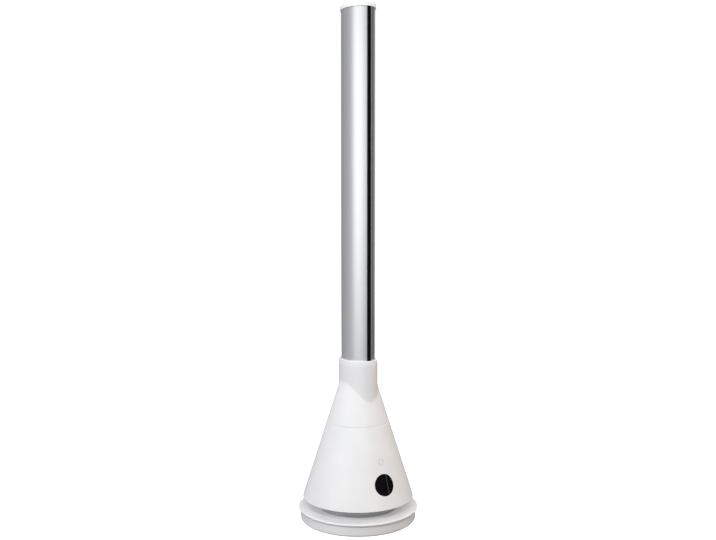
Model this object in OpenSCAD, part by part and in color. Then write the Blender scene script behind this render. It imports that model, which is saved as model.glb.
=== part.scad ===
// Bladeless tower fan: a weighted saucer base, a white conical turret that swings
// on it, and an oval aluminium column that blows air through a slot down its nose.
// Millimetres, +Z up, front towards -Y, origin on the floor under the turret's axis.

/* [Base] */
// Radius of the drum that the fan stands on
drum_r = 114; // [110:0.5:122]
// Height of the saucer's top above the floor
base_h = 28; // [27:0.5:34]
// Height of the saucer's lip
lip_h = 4.5; // [3.5:0.25:6]
// How far the lip stands out past the drum
lip_out = 4; // [2.5:0.5:7]
// Rounding of the drum's bottom edge
drum_edge_r = 5; // [3.5:0.5:8]
// Wall of the two base shells
base_wall = 2.5; // [2:0.1:3]
// Gap between the intake drum and the well that it turns in
well_gap = 3; // [2.5:0.25:5]
// Depth of that well
well_depth = 14; // [13.5:0.25:15]
// How far the rubber feet stand out below the drum
foot_h = 2; // [1:0.25:3]
// Radius of a rubber foot
foot_r = 8; // [5:0.5:10]
// Height of the steel counterweight
weight_h = 12; // [6:0.5:14]

/* [Turret] */
// How far the cone's skirt lies in from the drum's side
skirt_in = 4.7; // [0:0.1:8]
// Open height between the saucer and the skirt
skirt_gap = 19.4; // [14:0.2:24]
// Height from the skirt to the place where the cone meets the neck's sides
cone_h = 230.6; // [222:0.1:250]
// Height of the lower cone
lower_cone_h = 148.7; // [146:0.1:154]
// Height of the neck above that place
neck_up = 42; // [36:0.5:60]
// Wall of the two cone shells
cone_wall = 2.5; // [2:0.1:3]
// Width of the seam line between the two cones
seam_w = 0.7; // [0.3:0.1:1.2]
// Half of the neck's depth, front to back
neck_a = 47.5; // [46:0.5:50]
// Half of the neck's width
neck_b = 35.5; // [35:0.25:38]
// Radius of the neck's nose
neck_nose_r = 26; // [24:0.5:28]

/* [Column] */
// Half of the column's depth, front to back
column_a = 41; // [38:0.5:41]
// Half of the column's width
column_b = 30.5; // [29:0.25:30.5]
// Radius of the column's nose
column_nose_r = 20.5; // [18:0.5:21]
// Height of the column that shows above the neck
column_h = 672; // [300:1:900]
// Wall of the aluminium column
column_wall = 1.8; // [1.4:0.1:2.2]
// Width of the slot cut down the nose
slot_w = 9.2; // [7.4:0.1:10]
// Width of the air gap between the two nozzle strips
jet_w = 5; // [4.6:0.1:5.6]
// Height of the top cap
cap_h = 8; // [7:0.25:12]
// How far the cap stands out past the column
cap_out = 1.6; // [1.4:0.1:2.5]

/* [Controls] */
// Radius of the display lens
lens_r = 20.5; // [14:0.5:21]
// Height of the lens above the skirt
lens_up = 43.6; // [40:0.2:44]
// Radius of the power button
button_r = 7.25; // [5:0.25:8]
// Height of the button above the skirt
button_up = 85.2; // [84:0.2:90]
// Travel of the power button
button_travel = 0.8; // [0.3:0.1:0.8]

/* [Swing drive] */
// Furthest swing to each side, in degrees
swing_deg = 40; // [10:1:60]
// Number of teeth in the fixed ring gear
ring_teeth = 60; // [56:2:60]
// Number of teeth on the drive pinion
pinion_teeth = 12; // [11:1:13]
// Radius of a bearing ball
ball_r = 2.5; // [2:0.1:2.7]
// Number of bearing balls
ball_count = 18; // [8:1:24]

/* [Air mover] */
// Gap between the intake drum and the heads of the screws round it
grille_gap = 1.4; // [1:0.1:4]
// Number of slots round the intake drum
grille_slots = 40; // [24:2:48]
// Gap between the top of the fan housing and the cone round it
duct_gap = 9.3; // [8:0.1:14]
// Radius of the impeller's hub, as a share of the housing's
hub_share = 0.515; // [0.48:0.005:0.53]
// Number of impeller blades
blade_count = 9; // [5:1:11]
// Pitch of the impeller blades, in degrees
blade_pitch = 38; // [25:1:50]
// How far the motor's case lies in from the hub's side
motor_in = 5; // [4.5:0.1:7]

/* [Hidden] */
$fn = 96;

// Colours of the materials
white_plastic = [0.93, 0.93, 0.92];
black_plastic = [0.06, 0.06, 0.07];
grey_plastic = [0.35, 0.36, 0.37];
natural_nylon = [0.85, 0.83, 0.76];
satin_aluminium = [0.72, 0.73, 0.75];
bright_steel = [0.62, 0.63, 0.65];
plated_steel = [0.75, 0.75, 0.74];
cast_weight = [0.3, 0.3, 0.31];
black_rubber = [0.12, 0.12, 0.12];
grey_foam = [0.25, 0.25, 0.26];
circuit_green = [0.08, 0.3, 0.16];
copper_wire = [0.72, 0.4, 0.2];
smoked_lens = [0.03, 0.03, 0.04];

// Clearances and cuts that several pieces share
cut = 1;
fit = 0.3;
slip = 0.06;
snug = 0.02;

// Screw sizes: one self-tapping screw in two lengths
screw_r = 1.5;
screw_head_r = 2.9;
screw_head_h = 1.5;
screw_pilot_r = 1.55;
screw_hole_r = 1.75;
screw_slot_w = 0.8;
screw_slot_deep = 0.9;
screw_slot_share = 1.3;
screw_short = 4;
screw_long = 12;
screw_wall = 2.2;

// Heights, from the floor up, and the radii of the outside
lip_r = drum_r + lip_out;
skirt_r = drum_r - skirt_in;
lip_z = base_h - lip_h;
floor_z = foot_h + base_wall;
well_z = base_h - well_depth;
skirt_z = base_h + skirt_gap;
seam_z = skirt_z + lower_cone_h;
neck_z = skirt_z + cone_h + neck_up;
column_top = neck_z + column_h;

// Slant of the cone: the radius that it loses for each unit of height
slope_share = (skirt_r - neck_b) / cone_h;
slope_deg = atan(slope_share);
wall_across = cone_wall / cos(slope_deg);
function cone_r(z) = skirt_r - slope_share * (z - skirt_z);
function cone_in(z) = cone_r(z) - wall_across;
function cone_at(r) = skirt_z + (skirt_r - r) / slope_share;

// Flange of the fan housing, with the cone's ledge and screws on it
housing_up = 66;
housing_z = skirt_z + housing_up;
flange_h = 3;
flange_top = housing_z + flange_h;
ledge_w = 7;
ledge_h = 2.5;
cone_boss_r = screw_pilot_r + screw_wall;
cone_boss_h = 10;
cone_screw_count = 4;
cone_screw_r = cone_in(flange_top + ledge_h) - ledge_w / 2;

// Intake drum inside those screws, and the well that it turns in
grille_r = cone_screw_r - screw_head_r - grille_gap;
well_r = grille_r + well_gap;

// Saucer and drum details
lip_edge_r = 2;
well_edge_r = 1.5;
spigot_h = 3;
rib_h = 5;
foot_count = 6;
foot_in = 16;
foot_recess = 1;
pan_screw_count = 6;
pan_screw_in = 7;
pan_screw_r = well_r - pan_screw_in;
head_recess = 1.5;
weight_in = 5;
weight_slack = 3;
weight_gap = 60;
weight_out_r = drum_r - base_wall - weight_in;
weight_in_r = well_r + base_wall + weight_slack;

// Cord gland in the rear wall of the drum
cord_bore_r = 3.3;
gland_r = 5;
gland_flange_r = 6.5;
gland_flange_h = 1.8;
gland_z = lip_z - spigot_h - gland_flange_r - fit;
gland_nose = 4;

// Power supply behind the counterweight's gap
board_h = 1.6;
supply_board_w = 50;
supply_margin = 5;
supply_board_d = weight_out_r - weight_in_r - 2 * cut;
supply_up = 2.5;
supply_w = 30;
supply_d = supply_board_d - supply_margin;
supply_h = 8;
capacitor_r = 4;
capacitor_h = 8;
supply_y = weight_in_r + supply_board_d / 2;
post_r = 2.4;

// Ball race between the base and the turntable
race_in_share = 0.79;
race_out_share = 0.934;
race_in_r = grille_r * race_in_share;
race_out_r = grille_r * race_out_share;
race_h = 4;
race_gap = 4.6;
race_mid_r = (race_in_r + race_out_r) / 2;
ball_z = well_z + race_h + race_gap / 2;
cage_h = 2;
cage_in_r = race_in_r + fit;
turntable_z = well_z + 2 * race_h + race_gap;
turntable_h = 3;
turntable_top = turntable_z + turntable_h;
turntable_r = grille_r + cut;

// Gears: a ring fixed in the well and a pinion that the turret carries round in it
pressure_deg = 20;
ring_tip_share = 0.58;
ring_root_share = 1.25;
pinion_tip_share = 0.8;
pinion_root_share = 1.1;
ring_gear_wall = 4;
ring_gear_share = 0.67;
ring_gear_out_r = grille_r * ring_gear_share;
tooth_size = (ring_gear_out_r - ring_gear_wall) / (ring_teeth / 2 + ring_root_share);
ring_pitch_r = ring_teeth * tooth_size / 2;
pinion_pitch_r = pinion_teeth * tooth_size / 2;
centre_r = ring_pitch_r - pinion_pitch_r;
pinion_deg = 90;
backlash = 0.22;
flank_steps = 4;
ring_gear_h = 7;
gear_lift = 0.6;
gear_face = 6;
pinion_hub_share = 0.61;
pinion_hub_r = pinion_pitch_r * pinion_hub_share;
pinion_hub_h = 3;
drive_shaft_r = 2.5;

// End stops: a finger under the turntable between two blocks in the well
stop_r = (ring_gear_out_r + race_in_r) / 2;
stop_w = 4;
stop_deg = atan(stop_w / stop_r);
stop_slack_deg = 1;
stop_clear = 2;

// Hollow pivot post that the turntable turns about
post_share = 0.158;
post_flange_share = 0.276;
post_wall = 4;
post_out_r = grille_r * post_share;
post_in_r = post_out_r - post_wall;
post_flange_r = grille_r * post_flange_share;
post_flange_h = 3;
post_screw_count = 3;
post_screw_r = post_flange_r - screw_head_r - fit;
hub_wall = 4.5;
hub_down = 6;
hub_up = 4;
hub_top = turntable_top + hub_up;
washer_h = 1.5;
clip_h = 1.2;
clip_deep = 1;
clip_w = 3;
clip_gap = 10;
clip_z = hub_top + fit + washer_h + fit;
post_top = clip_z + clip_h + clip_w;

// Swing motor on the turntable
swing_share = 0.184;
swing_r = grille_r * swing_share;
swing_h = 19;
swing_boss_r = 4.6;
swing_ear_r = 3.5;
swing_ear_h = 1.2;
swing_ear_reach = swing_r + swing_ear_r;
swing_lead_w = swing_r;
swing_lead_d = 5;

// Intake drum, carried by the turntable and carrying the fan housing
grille_wall = 2.5;
grille_flange = 10;
grille_flange_h = 2.4;
grille_slot_w = 5;
grille_bar_h = 5;
grille_screw_count = 4;
grille_screw_r = grille_r - grille_wall - grille_flange / 2;
grille_h = housing_z - turntable_top;

// Fan housing and what it holds
duct_wall = 2.5;
join_down = 8;
seal_h = 2;
web_z = seam_z - join_down;
housing_top = web_z - seal_h;
duct_out_r = cone_in(housing_top) - duct_gap;
duct_r = duct_out_r - duct_wall;
hub_r = duct_r * hub_share;
motor_r = hub_r - motor_in;
mouth_r = 7;
mouth_flange_h = 2.5;
blade_up = 4;
blade_z = flange_top + blade_up;
blade_inset = 1;
stage_gap = 3;
cup_wall = 2;
mount_lip = 2.5;
cover_gap = 6.2;
blade_share = 0.4;
vane_share = 0.52;
magnet_share = 0.7;
// Height that the blades and the motor's case share
run_h = housing_top - blade_z - 2 * blade_inset - stage_gap - cup_wall - mount_lip
    - cover_gap;
blade_h = run_h * blade_share;
blade_t = 1.6;
blade_gap = 0.8;
hub_h = blade_h + 2 * blade_inset;
hub_wall_t = 2.2;
hub_boss_r = 6;
spinner_h = 12;
nut_r = 4.6;
nut_h = 3;
shaft_r = 2.5;
vane_z = blade_z + hub_h + stage_gap;
vane_h = run_h * vane_share;
vane_t = 1.5;
vane_count = 11;
vane_deg = 15;
vane_ring_w = 1.8;
cup_step = 1.5;
cup_out_r = hub_r + cup_step;
case_z = vane_z + cup_wall + mount_lip;
case_h = run_h - blade_h;
case_wall = 1.5;
bearing_r = 6.5;
bearing_h = 5;
bearing_ring_w = 1;
stator_w = 6;
magnet_gap = 0.6;
magnet_r = motor_r - case_wall - stator_w - magnet_gap;
magnet_h = (case_h - 2 * bearing_h - 2 * case_wall) * magnet_share;
coil_count = 9;
coil_h = 2.2;
coil_w = 3;
mount_h = 5;
cover_h = 12;
join_up = 10;
join_wall = 2;
web_h = 2.5;
housing_h = housing_top - housing_z;
cup_h = housing_top - vane_z;
dome_steps = 12;

// Control board on the turntable
control_w_share = 0.737;
control_d_share = 0.421;
control_y_share = 0.566;
control_w = grille_r * control_w_share;
control_d = grille_r * control_d_share;
control_y = -grille_r * control_y_share;
control_up = 6;
chip_w = 10;
chip_h = 1.4;
relay_w = 9;
relay_h = 8;
plug_w = 9.6;
plug_step = 12;
plug_d = 5;
plug_h = 6;

// Display and button, placed square to the slanted cone
lens_z = skirt_z + lens_up;
button_z = skirt_z + button_up;
lens_t = 2.3;
lens_proud = 0.2;
lens_gap = 0.15;
frame_wall = 2;
frame_deep = 10.5;
display_board_deep = 7.5;
digit_w = 9;
digit_h = 14;
digit_t = 3;
eye_r = 2.2;
eye_down = 13;
button_gap = 0.25;
button_t = 2;
button_rim = 1.2;
button_rim_t = 1;
button_rim_deep = cone_wall + fit
    + pow(button_r + button_rim, 2) / (2 * cone_r(button_z));
button_stem_r = 2.4;
button_stem_end = 9;
guide_gap = 0.35;
guide_wall = 1.8;
switch_gap = 0.1;
switch_deep = button_stem_end + button_travel + switch_gap;
switch_w = 6;
switch_h = 3.4;
plunger_r = 1.7;
plunger_h = 0.6;
guide_deep = switch_deep + plunger_h + switch_h + board_h;

// Neck, column and cap
neck_lid_h = 4;
socket_deep = 30;
socket_shelf_h = 5;
column_seal_h = 1.2;
column_seal_w = 3;
column_z = neck_z - socket_deep;
shelf_z = column_z - column_seal_h - socket_shelf_h;
port_r = 3.2;
port_sink = 0.7;
port_y_share = 0.3;
port_y = column_a * port_y_share;
port_x = side_x(column_a - column_wall, column_b - column_wall, column_nose_r - column_wall,
    port_y) - port_r + port_sink;
strip_back = 0.5;
strip_lip = 2.2;
strip_t = 3.4;
strip_reach = 8.5;
strip_deep = 15;
strip_flare = 4.5;
strip_tail = 1.4;
bracket_h = 2.2;
cap_edge_r = 2.4;
cap_roof = 2.2;
cap_peg_r = 2;
cap_peg_y = column_a - column_nose_r;
shelf_in = 8;

// Centre of the oval's side arcs, so that they meet the nose arcs without a corner
function side_shift(a, b, r) = (pow(a - r, 2) - pow(b - r, 2)) / (2 * (b - r));
// How far out the side wall of an oval lies at a distance y from its middle
function side_x(a, b, r, y) = sqrt(pow(b + side_shift(a, b, r), 2) - y * y)
    - side_shift(a, b, r);

// Oval outline of four tangent arcs, long way front to back
module oval(a, b, r) {
    shift = side_shift(a, b, r);
    side_r = b + shift;
    meet_y = (a - r) * side_r / (side_r - r);
    intersection() {
        translate([-shift, 0]) circle(side_r);
        translate([shift, 0]) circle(side_r);
        square([2 * side_r, 2 * meet_y], center = true);
    }
    for (s = [-1, 1]) translate([0, s * (a - r)]) circle(r);
}

// Upright oval bar from z to z + h
module oval_bar(a, b, r, z, h) {
    translate([0, 0, z]) linear_extrude(h) oval(a, b, r);
}

// Disc with its upper edge rounded
module soft_disc(r, h, edge) {
    rotate_extrude() {
        square([r, h - edge]);
        square([r - edge, h]);
        intersection() {
            translate([r - edge, h - edge]) circle(edge);
            translate([r - edge, h - edge]) square(edge);
        }
    }
}

// Wedge that holds one nose of an oval, with its point at the nose's centre
module nose_wedge(a, b, r, h) {
    shift = side_shift(a, b, r);
    far_share = 2;
    linear_extrude(h) polygon([
        [0, a - r],
        [shift * far_share, (a - r) * (1 + far_share)],
        [-shift * far_share, (a - r) * (1 + far_share)]]);
}

// Upright oval bar with its upper edge rounded
module soft_oval(a, b, r, z, h, edge) {
    shift = side_shift(a, b, r);
    translate([0, 0, z]) {
        difference() {
            intersection() {
                translate([-shift, 0, 0]) soft_disc(b + shift, h, edge);
                translate([shift, 0, 0]) soft_disc(b + shift, h, edge);
            }
            for (t = [0, 180]) rotate([0, 0, t])
                translate([0, 0, -cut]) nose_wedge(a, b, r, h + 2 * cut);
        }
        for (t = [0, 180]) rotate([0, 0, t]) intersection() {
            translate([0, a - r, 0]) soft_disc(r, h, edge);
            nose_wedge(a, b, r, h);
        }
    }
}

// Ring from an inner to an outer radius
module ring(r_out, r_in, z, h) {
    translate([0, 0, z]) difference() {
        cylinder(r = r_out, h = h);
        translate([0, 0, -cut]) cylinder(r = r_in, h = h + 2 * cut);
    }
}

// Copies of the children round the axis
module around(count, r, start = 0) {
    for (i = [0:count - 1])
        rotate([0, 0, start + i * 360 / count]) translate([r, 0, 0]) children();
}

// Self-tapping screw, head up, its seat at the origin and its shank downwards
module screw(length) {
    difference() {
        union() {
            cylinder(r = screw_head_r, h = screw_head_h);
            translate([0, 0, -length]) cylinder(r = screw_r, h = length + screw_head_h / 2);
        }
        for (t = [0, 90]) rotate([0, 0, t])
            translate([0, 0, screw_head_h - screw_slot_deep / 2 + cut / 2])
                cube([screw_head_r * screw_slot_share, screw_slot_w, screw_slot_deep + cut],
                    center = true);
    }
}

// Solid cone under the turret's slanted surface, moved in by inset
module cone_body(low, high, inset) {
    across = inset / cos(slope_deg);
    translate([0, 0, low])
        cylinder(r1 = cone_r(low) - across, r2 = cone_r(high) - across, h = high - low);
}

// Band of the slanted wall between two depths below its surface
module cone_band(low, high, from, to) {
    difference() {
        cone_body(low, high, from);
        cone_body(low - cut, high + cut, to);
    }
}

// Children stand on the front of the cone at height z, with +Z straight out of it
module on_cone(z) {
    translate([0, -cone_r(z), z]) rotate([90 - slope_deg, 0, 0]) children();
}

// Plug square to the cone's surface, from one depth to another
module plug(r, from, to) {
    translate([0, 0, -to]) cylinder(r = r, h = to - from);
}

// Angle between an involute's start and its point at a pressure angle of p degrees
function roll(p) = tan(p) * 180 / PI - p;
// Half of a tooth's angle at radius r, for a gear of n teeth and pitch radius rp
function half_tooth(n, rp, r, extra) = 90 / n + extra / rp * 180 / PI + roll(pressure_deg)
    - roll(acos(rp * cos(pressure_deg) / max(r, rp * cos(pressure_deg))));

// Outline of a gear with n teeth from a low to a high radius; extra widens each tooth
module gear_outline(n, low, high, extra) {
    rp = n * tooth_size / 2;
    flank = [for (k = [0:flank_steps]) low + (high - low) * k / flank_steps];
    polygon([for (i = [0:n - 1], side = [-1, 1], k = [0:flank_steps])
        let (r = flank[side < 0 ? k : flank_steps - k],
            t = i * 360 / n + side * half_tooth(n, rp, r, extra))
        [r * cos(t), r * sin(t)]]);
}

// Profile of a drum with a rounded bottom edge, to be spun round the axis
module drum_profile(r, low, high, edge) {
    translate([0, low]) square([r - edge, high - low]);
    translate([0, low + edge]) square([r, high - low - edge]);
    translate([r - edge, low + edge]) circle(edge);
}

module base_pan() color(white_plastic) difference() {
    union() {
        rotate_extrude() difference() {
            drum_profile(drum_r, foot_h, lip_z, drum_edge_r);
            drum_profile(drum_r - base_wall, floor_z, lip_z + cut, drum_edge_r - base_wall);
        }
        // Rib that locates the counterweight
        ring(weight_in_r - fit, weight_in_r - fit - base_wall / 2, floor_z - fit, rib_h);
        // Posts under the power board
        for (x = [-1, 1], y = [-1, 1])
            translate([x * (supply_board_w / 2 - post_r), supply_y + y * (supply_board_d / 2
                - post_r), floor_z - fit]) cylinder(r = post_r, h = supply_up + fit);
    }
    around(foot_count, drum_r - foot_in, 30)
        translate([0, 0, foot_h - cut]) cylinder(r = foot_r + fit / 2, h = foot_recess + cut);
    around(pan_screw_count, pan_screw_r) {
        translate([0, 0, foot_h - cut])
            cylinder(r = screw_head_r + fit, h = head_recess + cut);
        translate([0, 0, foot_h - cut]) cylinder(r = screw_hole_r, h = base_wall + 2 * cut);
    }
    translate([0, drum_r - base_wall - cut, gland_z]) rotate([-90, 0, 0])
        cylinder(r = gland_r + snug, h = base_wall + 2 * cut);
}

module base_cover() color(white_plastic) difference() {
    union() {
        rotate_extrude() {
            // Lip, rounded above and below
            translate([drum_r - base_wall, lip_z]) square([base_wall + lip_out - lip_edge_r,
                lip_h]);
            translate([drum_r, lip_z + lip_edge_r])
                square([lip_out, lip_h - 2 * lip_edge_r]);
            for (z = [lip_z + lip_edge_r, base_h - lip_edge_r])
                translate([lip_r - lip_edge_r, z]) circle(lip_edge_r);
            // Top plate with a rounded well mouth
            translate([well_r + well_edge_r, base_h - base_wall])
                square([drum_r - well_r - well_edge_r, base_wall]);
            translate([well_r + well_edge_r, base_h - well_edge_r]) circle(well_edge_r);
            // Well wall and floor
            translate([well_r, well_z - base_wall])
                square([base_wall, well_depth + base_wall - well_edge_r]);
            translate([post_in_r, well_z - base_wall])
                square([well_r + base_wall - post_in_r, base_wall]);
            // Spigot inside the drum
            translate([drum_r - 2 * base_wall - fit, lip_z - spigot_h])
                square([base_wall, base_h - lip_z + spigot_h - base_wall]);
        }
        around(pan_screw_count, pan_screw_r) translate([0, 0, floor_z])
            cylinder(r = screw_pilot_r + screw_wall, h = well_z - floor_z - base_wall / 2);
        around(post_screw_count, post_screw_r, 30) translate([0, 0, floor_z])
            cylinder(r = screw_pilot_r + screw_wall, h = well_z - floor_z - base_wall / 2);
        // Stop blocks to each side of the turntable's finger
        for (s = [-1, 1]) rotate([0, 0, s * (swing_deg + stop_slack_deg + stop_deg) - 90])
            translate([stop_r, 0, well_z - base_wall / 2])
                translate([-stop_w / 2, -stop_w / 2, 0])
                    cube([stop_w, stop_w, race_h + base_wall / 2]);
    }
    around(pan_screw_count, pan_screw_r)
        translate([0, 0, floor_z - cut])
            cylinder(r = screw_pilot_r, h = well_z - floor_z - base_wall + cut);
    around(post_screw_count, post_screw_r, 30) translate([0, 0, floor_z - cut])
        cylinder(r = screw_pilot_r, h = well_z - floor_z + 2 * cut);
}

module counterweight() color(cast_weight) difference() {
    ring(weight_out_r, weight_in_r, floor_z, weight_h);
    translate([-weight_gap / 2, 0, floor_z - cut])
        cube([weight_gap, weight_out_r + cut, weight_h + 2 * cut]);
}

module rubber_feet() color(black_rubber) around(foot_count, drum_r - foot_in, 30)
    cylinder(r = foot_r, h = foot_h + foot_recess);

module pan_screws() color(plated_steel) around(pan_screw_count, pan_screw_r)
    translate([0, 0, foot_h + head_recess]) rotate([180, 0, 0])
        screw(well_z - foot_h - base_wall - head_recess - cut);

module cord_gland() color(black_rubber) translate([0, drum_r, gland_z]) rotate([-90, 0, 0])
    rotate_extrude() difference() {
        union() {
            translate([0, -base_wall - gland_nose])
                square([gland_r, base_wall + gland_nose + gland_flange_h]);
            translate([0, -base_wall - fit - gland_flange_h])
                square([gland_flange_r, gland_flange_h]);
            translate([0, snug]) square([gland_flange_r, gland_flange_h]);
        }
        translate([0, -base_wall - gland_nose - cut])
            square([cord_bore_r, base_wall + gland_nose + 2 * gland_flange_h + 2 * cut]);
    }

module power_board() color(circuit_green)
    translate([-supply_board_w / 2, supply_y - supply_board_d / 2, floor_z + supply_up])
        cube([supply_board_w, supply_board_d, board_h]);

module power_module() color(black_plastic) {
    translate([-supply_board_w / 2 + cut, supply_y - supply_d / 2,
        floor_z + supply_up + board_h]) cube([supply_w, supply_d, supply_h]);
    translate([supply_board_w / 2 - capacitor_r - 2 * cut, supply_y,
        floor_z + supply_up + board_h]) cylinder(r = capacitor_r, h = capacitor_h);
}

module ring_gear() color(natural_nylon) translate([0, 0, well_z])
    rotate([0, 0, pinion_deg]) difference() {
        cylinder(r = ring_gear_out_r, h = ring_gear_h);
        translate([0, 0, -cut]) linear_extrude(ring_gear_h + 2 * cut)
            gear_outline(ring_teeth, ring_pitch_r - ring_tip_share * tooth_size,
                ring_pitch_r + ring_root_share * tooth_size, backlash / 4);
    }

// Flat ring with a round groove for the balls in the face at groove_z
module race(z, groove_z) {
    difference() {
        ring(race_out_r, race_in_r, z, race_h);
        rotate_extrude() translate([race_mid_r, groove_z]) circle(ball_r + fit);
    }
}

module lower_race() color(bright_steel) race(well_z, ball_z);

module upper_race() color(bright_steel) race(turntable_z - race_h, ball_z);

module bearing_balls() color(plated_steel)
    around(ball_count, race_mid_r) translate([0, 0, ball_z]) sphere(ball_r);

module ball_cage() color(natural_nylon) difference() {
    ring(race_out_r - fit, cage_in_r, ball_z - cage_h / 2, cage_h);
    around(ball_count, race_mid_r) translate([0, 0, ball_z - cage_h])
        cylinder(r = ball_r + fit / 2, h = 2 * cage_h);
}

module pivot_post() color(natural_nylon) difference() {
    union() {
        translate([0, 0, well_z]) cylinder(r = post_flange_r, h = post_flange_h);
        translate([0, 0, well_z]) cylinder(r = post_out_r, h = post_top - well_z);
    }
    translate([0, 0, well_z - cut])
        cylinder(r = post_in_r, h = post_top - well_z + 2 * cut);
    ring(post_out_r + cut, post_out_r - clip_deep - slip, clip_z - slip, clip_h + 2 * slip);
    around(post_screw_count, post_screw_r, 30) translate([0, 0, well_z - cut])
        cylinder(r = screw_hole_r, h = post_flange_h + 2 * cut);
}

module post_screws() color(plated_steel) around(post_screw_count, post_screw_r, 30)
    translate([0, 0, well_z + post_flange_h]) screw(post_flange_h + base_wall + screw_short / 2);

module thrust_washer() color(natural_nylon)
    ring(post_out_r + hub_wall, post_out_r + fit / 2, hub_top + fit, washer_h);

module retaining_clip() color(bright_steel) difference() {
    ring(post_out_r + clip_w, post_out_r - clip_deep, clip_z, clip_h);
    translate([0, -clip_gap / 2, clip_z - cut])
        cube([post_out_r + clip_w + cut, clip_gap, clip_h + 2 * cut]);
}

module turntable() color(grey_plastic) difference() {
    union() {
        translate([0, 0, turntable_z]) cylinder(r = turntable_r, h = turntable_h);
        translate([0, 0, turntable_z - hub_down])
            cylinder(r = post_out_r + hub_wall, h = hub_top - turntable_z + hub_down);
        // Finger that meets the stop blocks
        translate([0, -stop_r, well_z + stop_clear])
            translate([-stop_w / 2, -stop_w / 2, 0])
                cube([stop_w, stop_w, turntable_z - well_z - stop_clear + turntable_h / 2]);
        // Posts under the control board
        for (x = [-1, 1], y = [-1, 1])
            translate([x * (control_w / 2 - 2 * post_r), control_y + y * (control_d / 2
                - 2 * post_r), turntable_z + turntable_h / 2])
                cylinder(r = post_r + cut, h = control_up + turntable_h / 2);
    }
    translate([0, 0, turntable_z - hub_down - cut])
        cylinder(r = post_out_r + slip, h = hub_top - turntable_z + hub_down + 2 * cut);
    rotate([0, 0, pinion_deg]) translate([centre_r, 0, turntable_z - cut])
        cylinder(r = swing_boss_r + fit, h = turntable_h + 2 * cut);
    rotate([0, 0, pinion_deg]) for (s = [-1, 1])
        translate([centre_r, s * swing_ear_reach, turntable_z - cut])
            cylinder(r = screw_pilot_r, h = turntable_h + 2 * cut);
    around(grille_screw_count, grille_screw_r, 45) translate([0, 0, turntable_z - cut])
        cylinder(r = screw_pilot_r, h = turntable_h + 2 * cut);
    for (x = [-1, 1], y = [-1, 1])
        translate([x * (control_w / 2 - 2 * post_r), control_y + y * (control_d / 2
            - 2 * post_r), turntable_top]) cylinder(r = screw_pilot_r, h = control_up + cut);
}

module intake_grille() color(grey_plastic) difference() {
    union() {
        ring(grille_r, grille_r - grille_wall, turntable_top, grille_h);
        ring(grille_r - grille_wall / 2, grille_r - grille_wall - grille_flange,
            turntable_top, grille_flange_h);
        ring(grille_r - grille_wall / 2, grille_r - grille_wall - grille_flange,
            housing_z - grille_flange_h, grille_flange_h);
    }
    for (low = [turntable_top + grille_bar_h, (turntable_top + housing_z + grille_bar_h) / 2])
        around(grille_slots, grille_r - grille_wall - cut, 180 / grille_slots)
            translate([0, -grille_slot_w / 2, low])
                cube([grille_wall + 2 * cut, grille_slot_w, (grille_h - 3 * grille_bar_h) / 2]);
    around(grille_screw_count, grille_screw_r, 45) {
        translate([0, 0, turntable_top - cut])
            cylinder(r = screw_hole_r, h = grille_flange_h + 2 * cut);
        translate([0, 0, housing_z - grille_flange_h - cut])
            cylinder(r = screw_pilot_r, h = grille_flange_h + 2 * cut);
    }
}

module grille_screws() color(plated_steel) around(grille_screw_count, grille_screw_r, 45)
    translate([0, 0, turntable_top + grille_flange_h])
        screw(grille_flange_h + turntable_h - fit);

module swing_motor() color(bright_steel) rotate([0, 0, pinion_deg])
    translate([centre_r, 0, turntable_top]) difference() {
        union() {
            cylinder(r = swing_r, h = swing_h);
            translate([0, 0, -turntable_h]) cylinder(r = swing_boss_r, h = turntable_h + cut);
            for (s = [-1, 1]) translate([0, s * swing_ear_reach, 0])
                cylinder(r = swing_ear_r, h = swing_ear_h);
            translate([-swing_ear_r, -swing_ear_reach, 0])
                cube([2 * swing_ear_r, 2 * swing_ear_reach, swing_ear_h]);
            translate([swing_r - swing_lead_d / 2, -swing_lead_w / 2, swing_h / 3])
                cube([swing_lead_d, swing_lead_w, swing_h / 2]);
        }
        translate([0, 0, -turntable_h - cut])
            cylinder(r = drive_shaft_r + slip, h = turntable_h + swing_h / 2 + cut);
        for (s = [-1, 1]) translate([0, s * swing_ear_reach, -cut])
            cylinder(r = screw_hole_r, h = swing_ear_h + 2 * cut);
    }

module swing_motor_screws() color(plated_steel) rotate([0, 0, pinion_deg])
    for (s = [-1, 1]) translate([centre_r, s * swing_ear_reach, turntable_top + swing_ear_h])
        screw(swing_ear_h + turntable_h - fit);

module drive_pinion() color(natural_nylon) rotate([0, 0, pinion_deg])
    translate([centre_r, 0, well_z + gear_lift]) difference() {
        union() {
            linear_extrude(gear_face) gear_outline(pinion_teeth,
                pinion_pitch_r - pinion_root_share * tooth_size,
                pinion_pitch_r + pinion_tip_share * tooth_size, -backlash / 4);
            cylinder(r = pinion_hub_r, h = gear_face + pinion_hub_h);
        }
        translate([0, 0, -cut])
            cylinder(r = drive_shaft_r + snug, h = gear_face + pinion_hub_h + 2 * cut);
    }

module pinion_shaft() color(bright_steel) rotate([0, 0, pinion_deg])
    translate([centre_r, 0, well_z + gear_lift])
        cylinder(r = drive_shaft_r, h = turntable_top - well_z - gear_lift + swing_h / 3);

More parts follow.
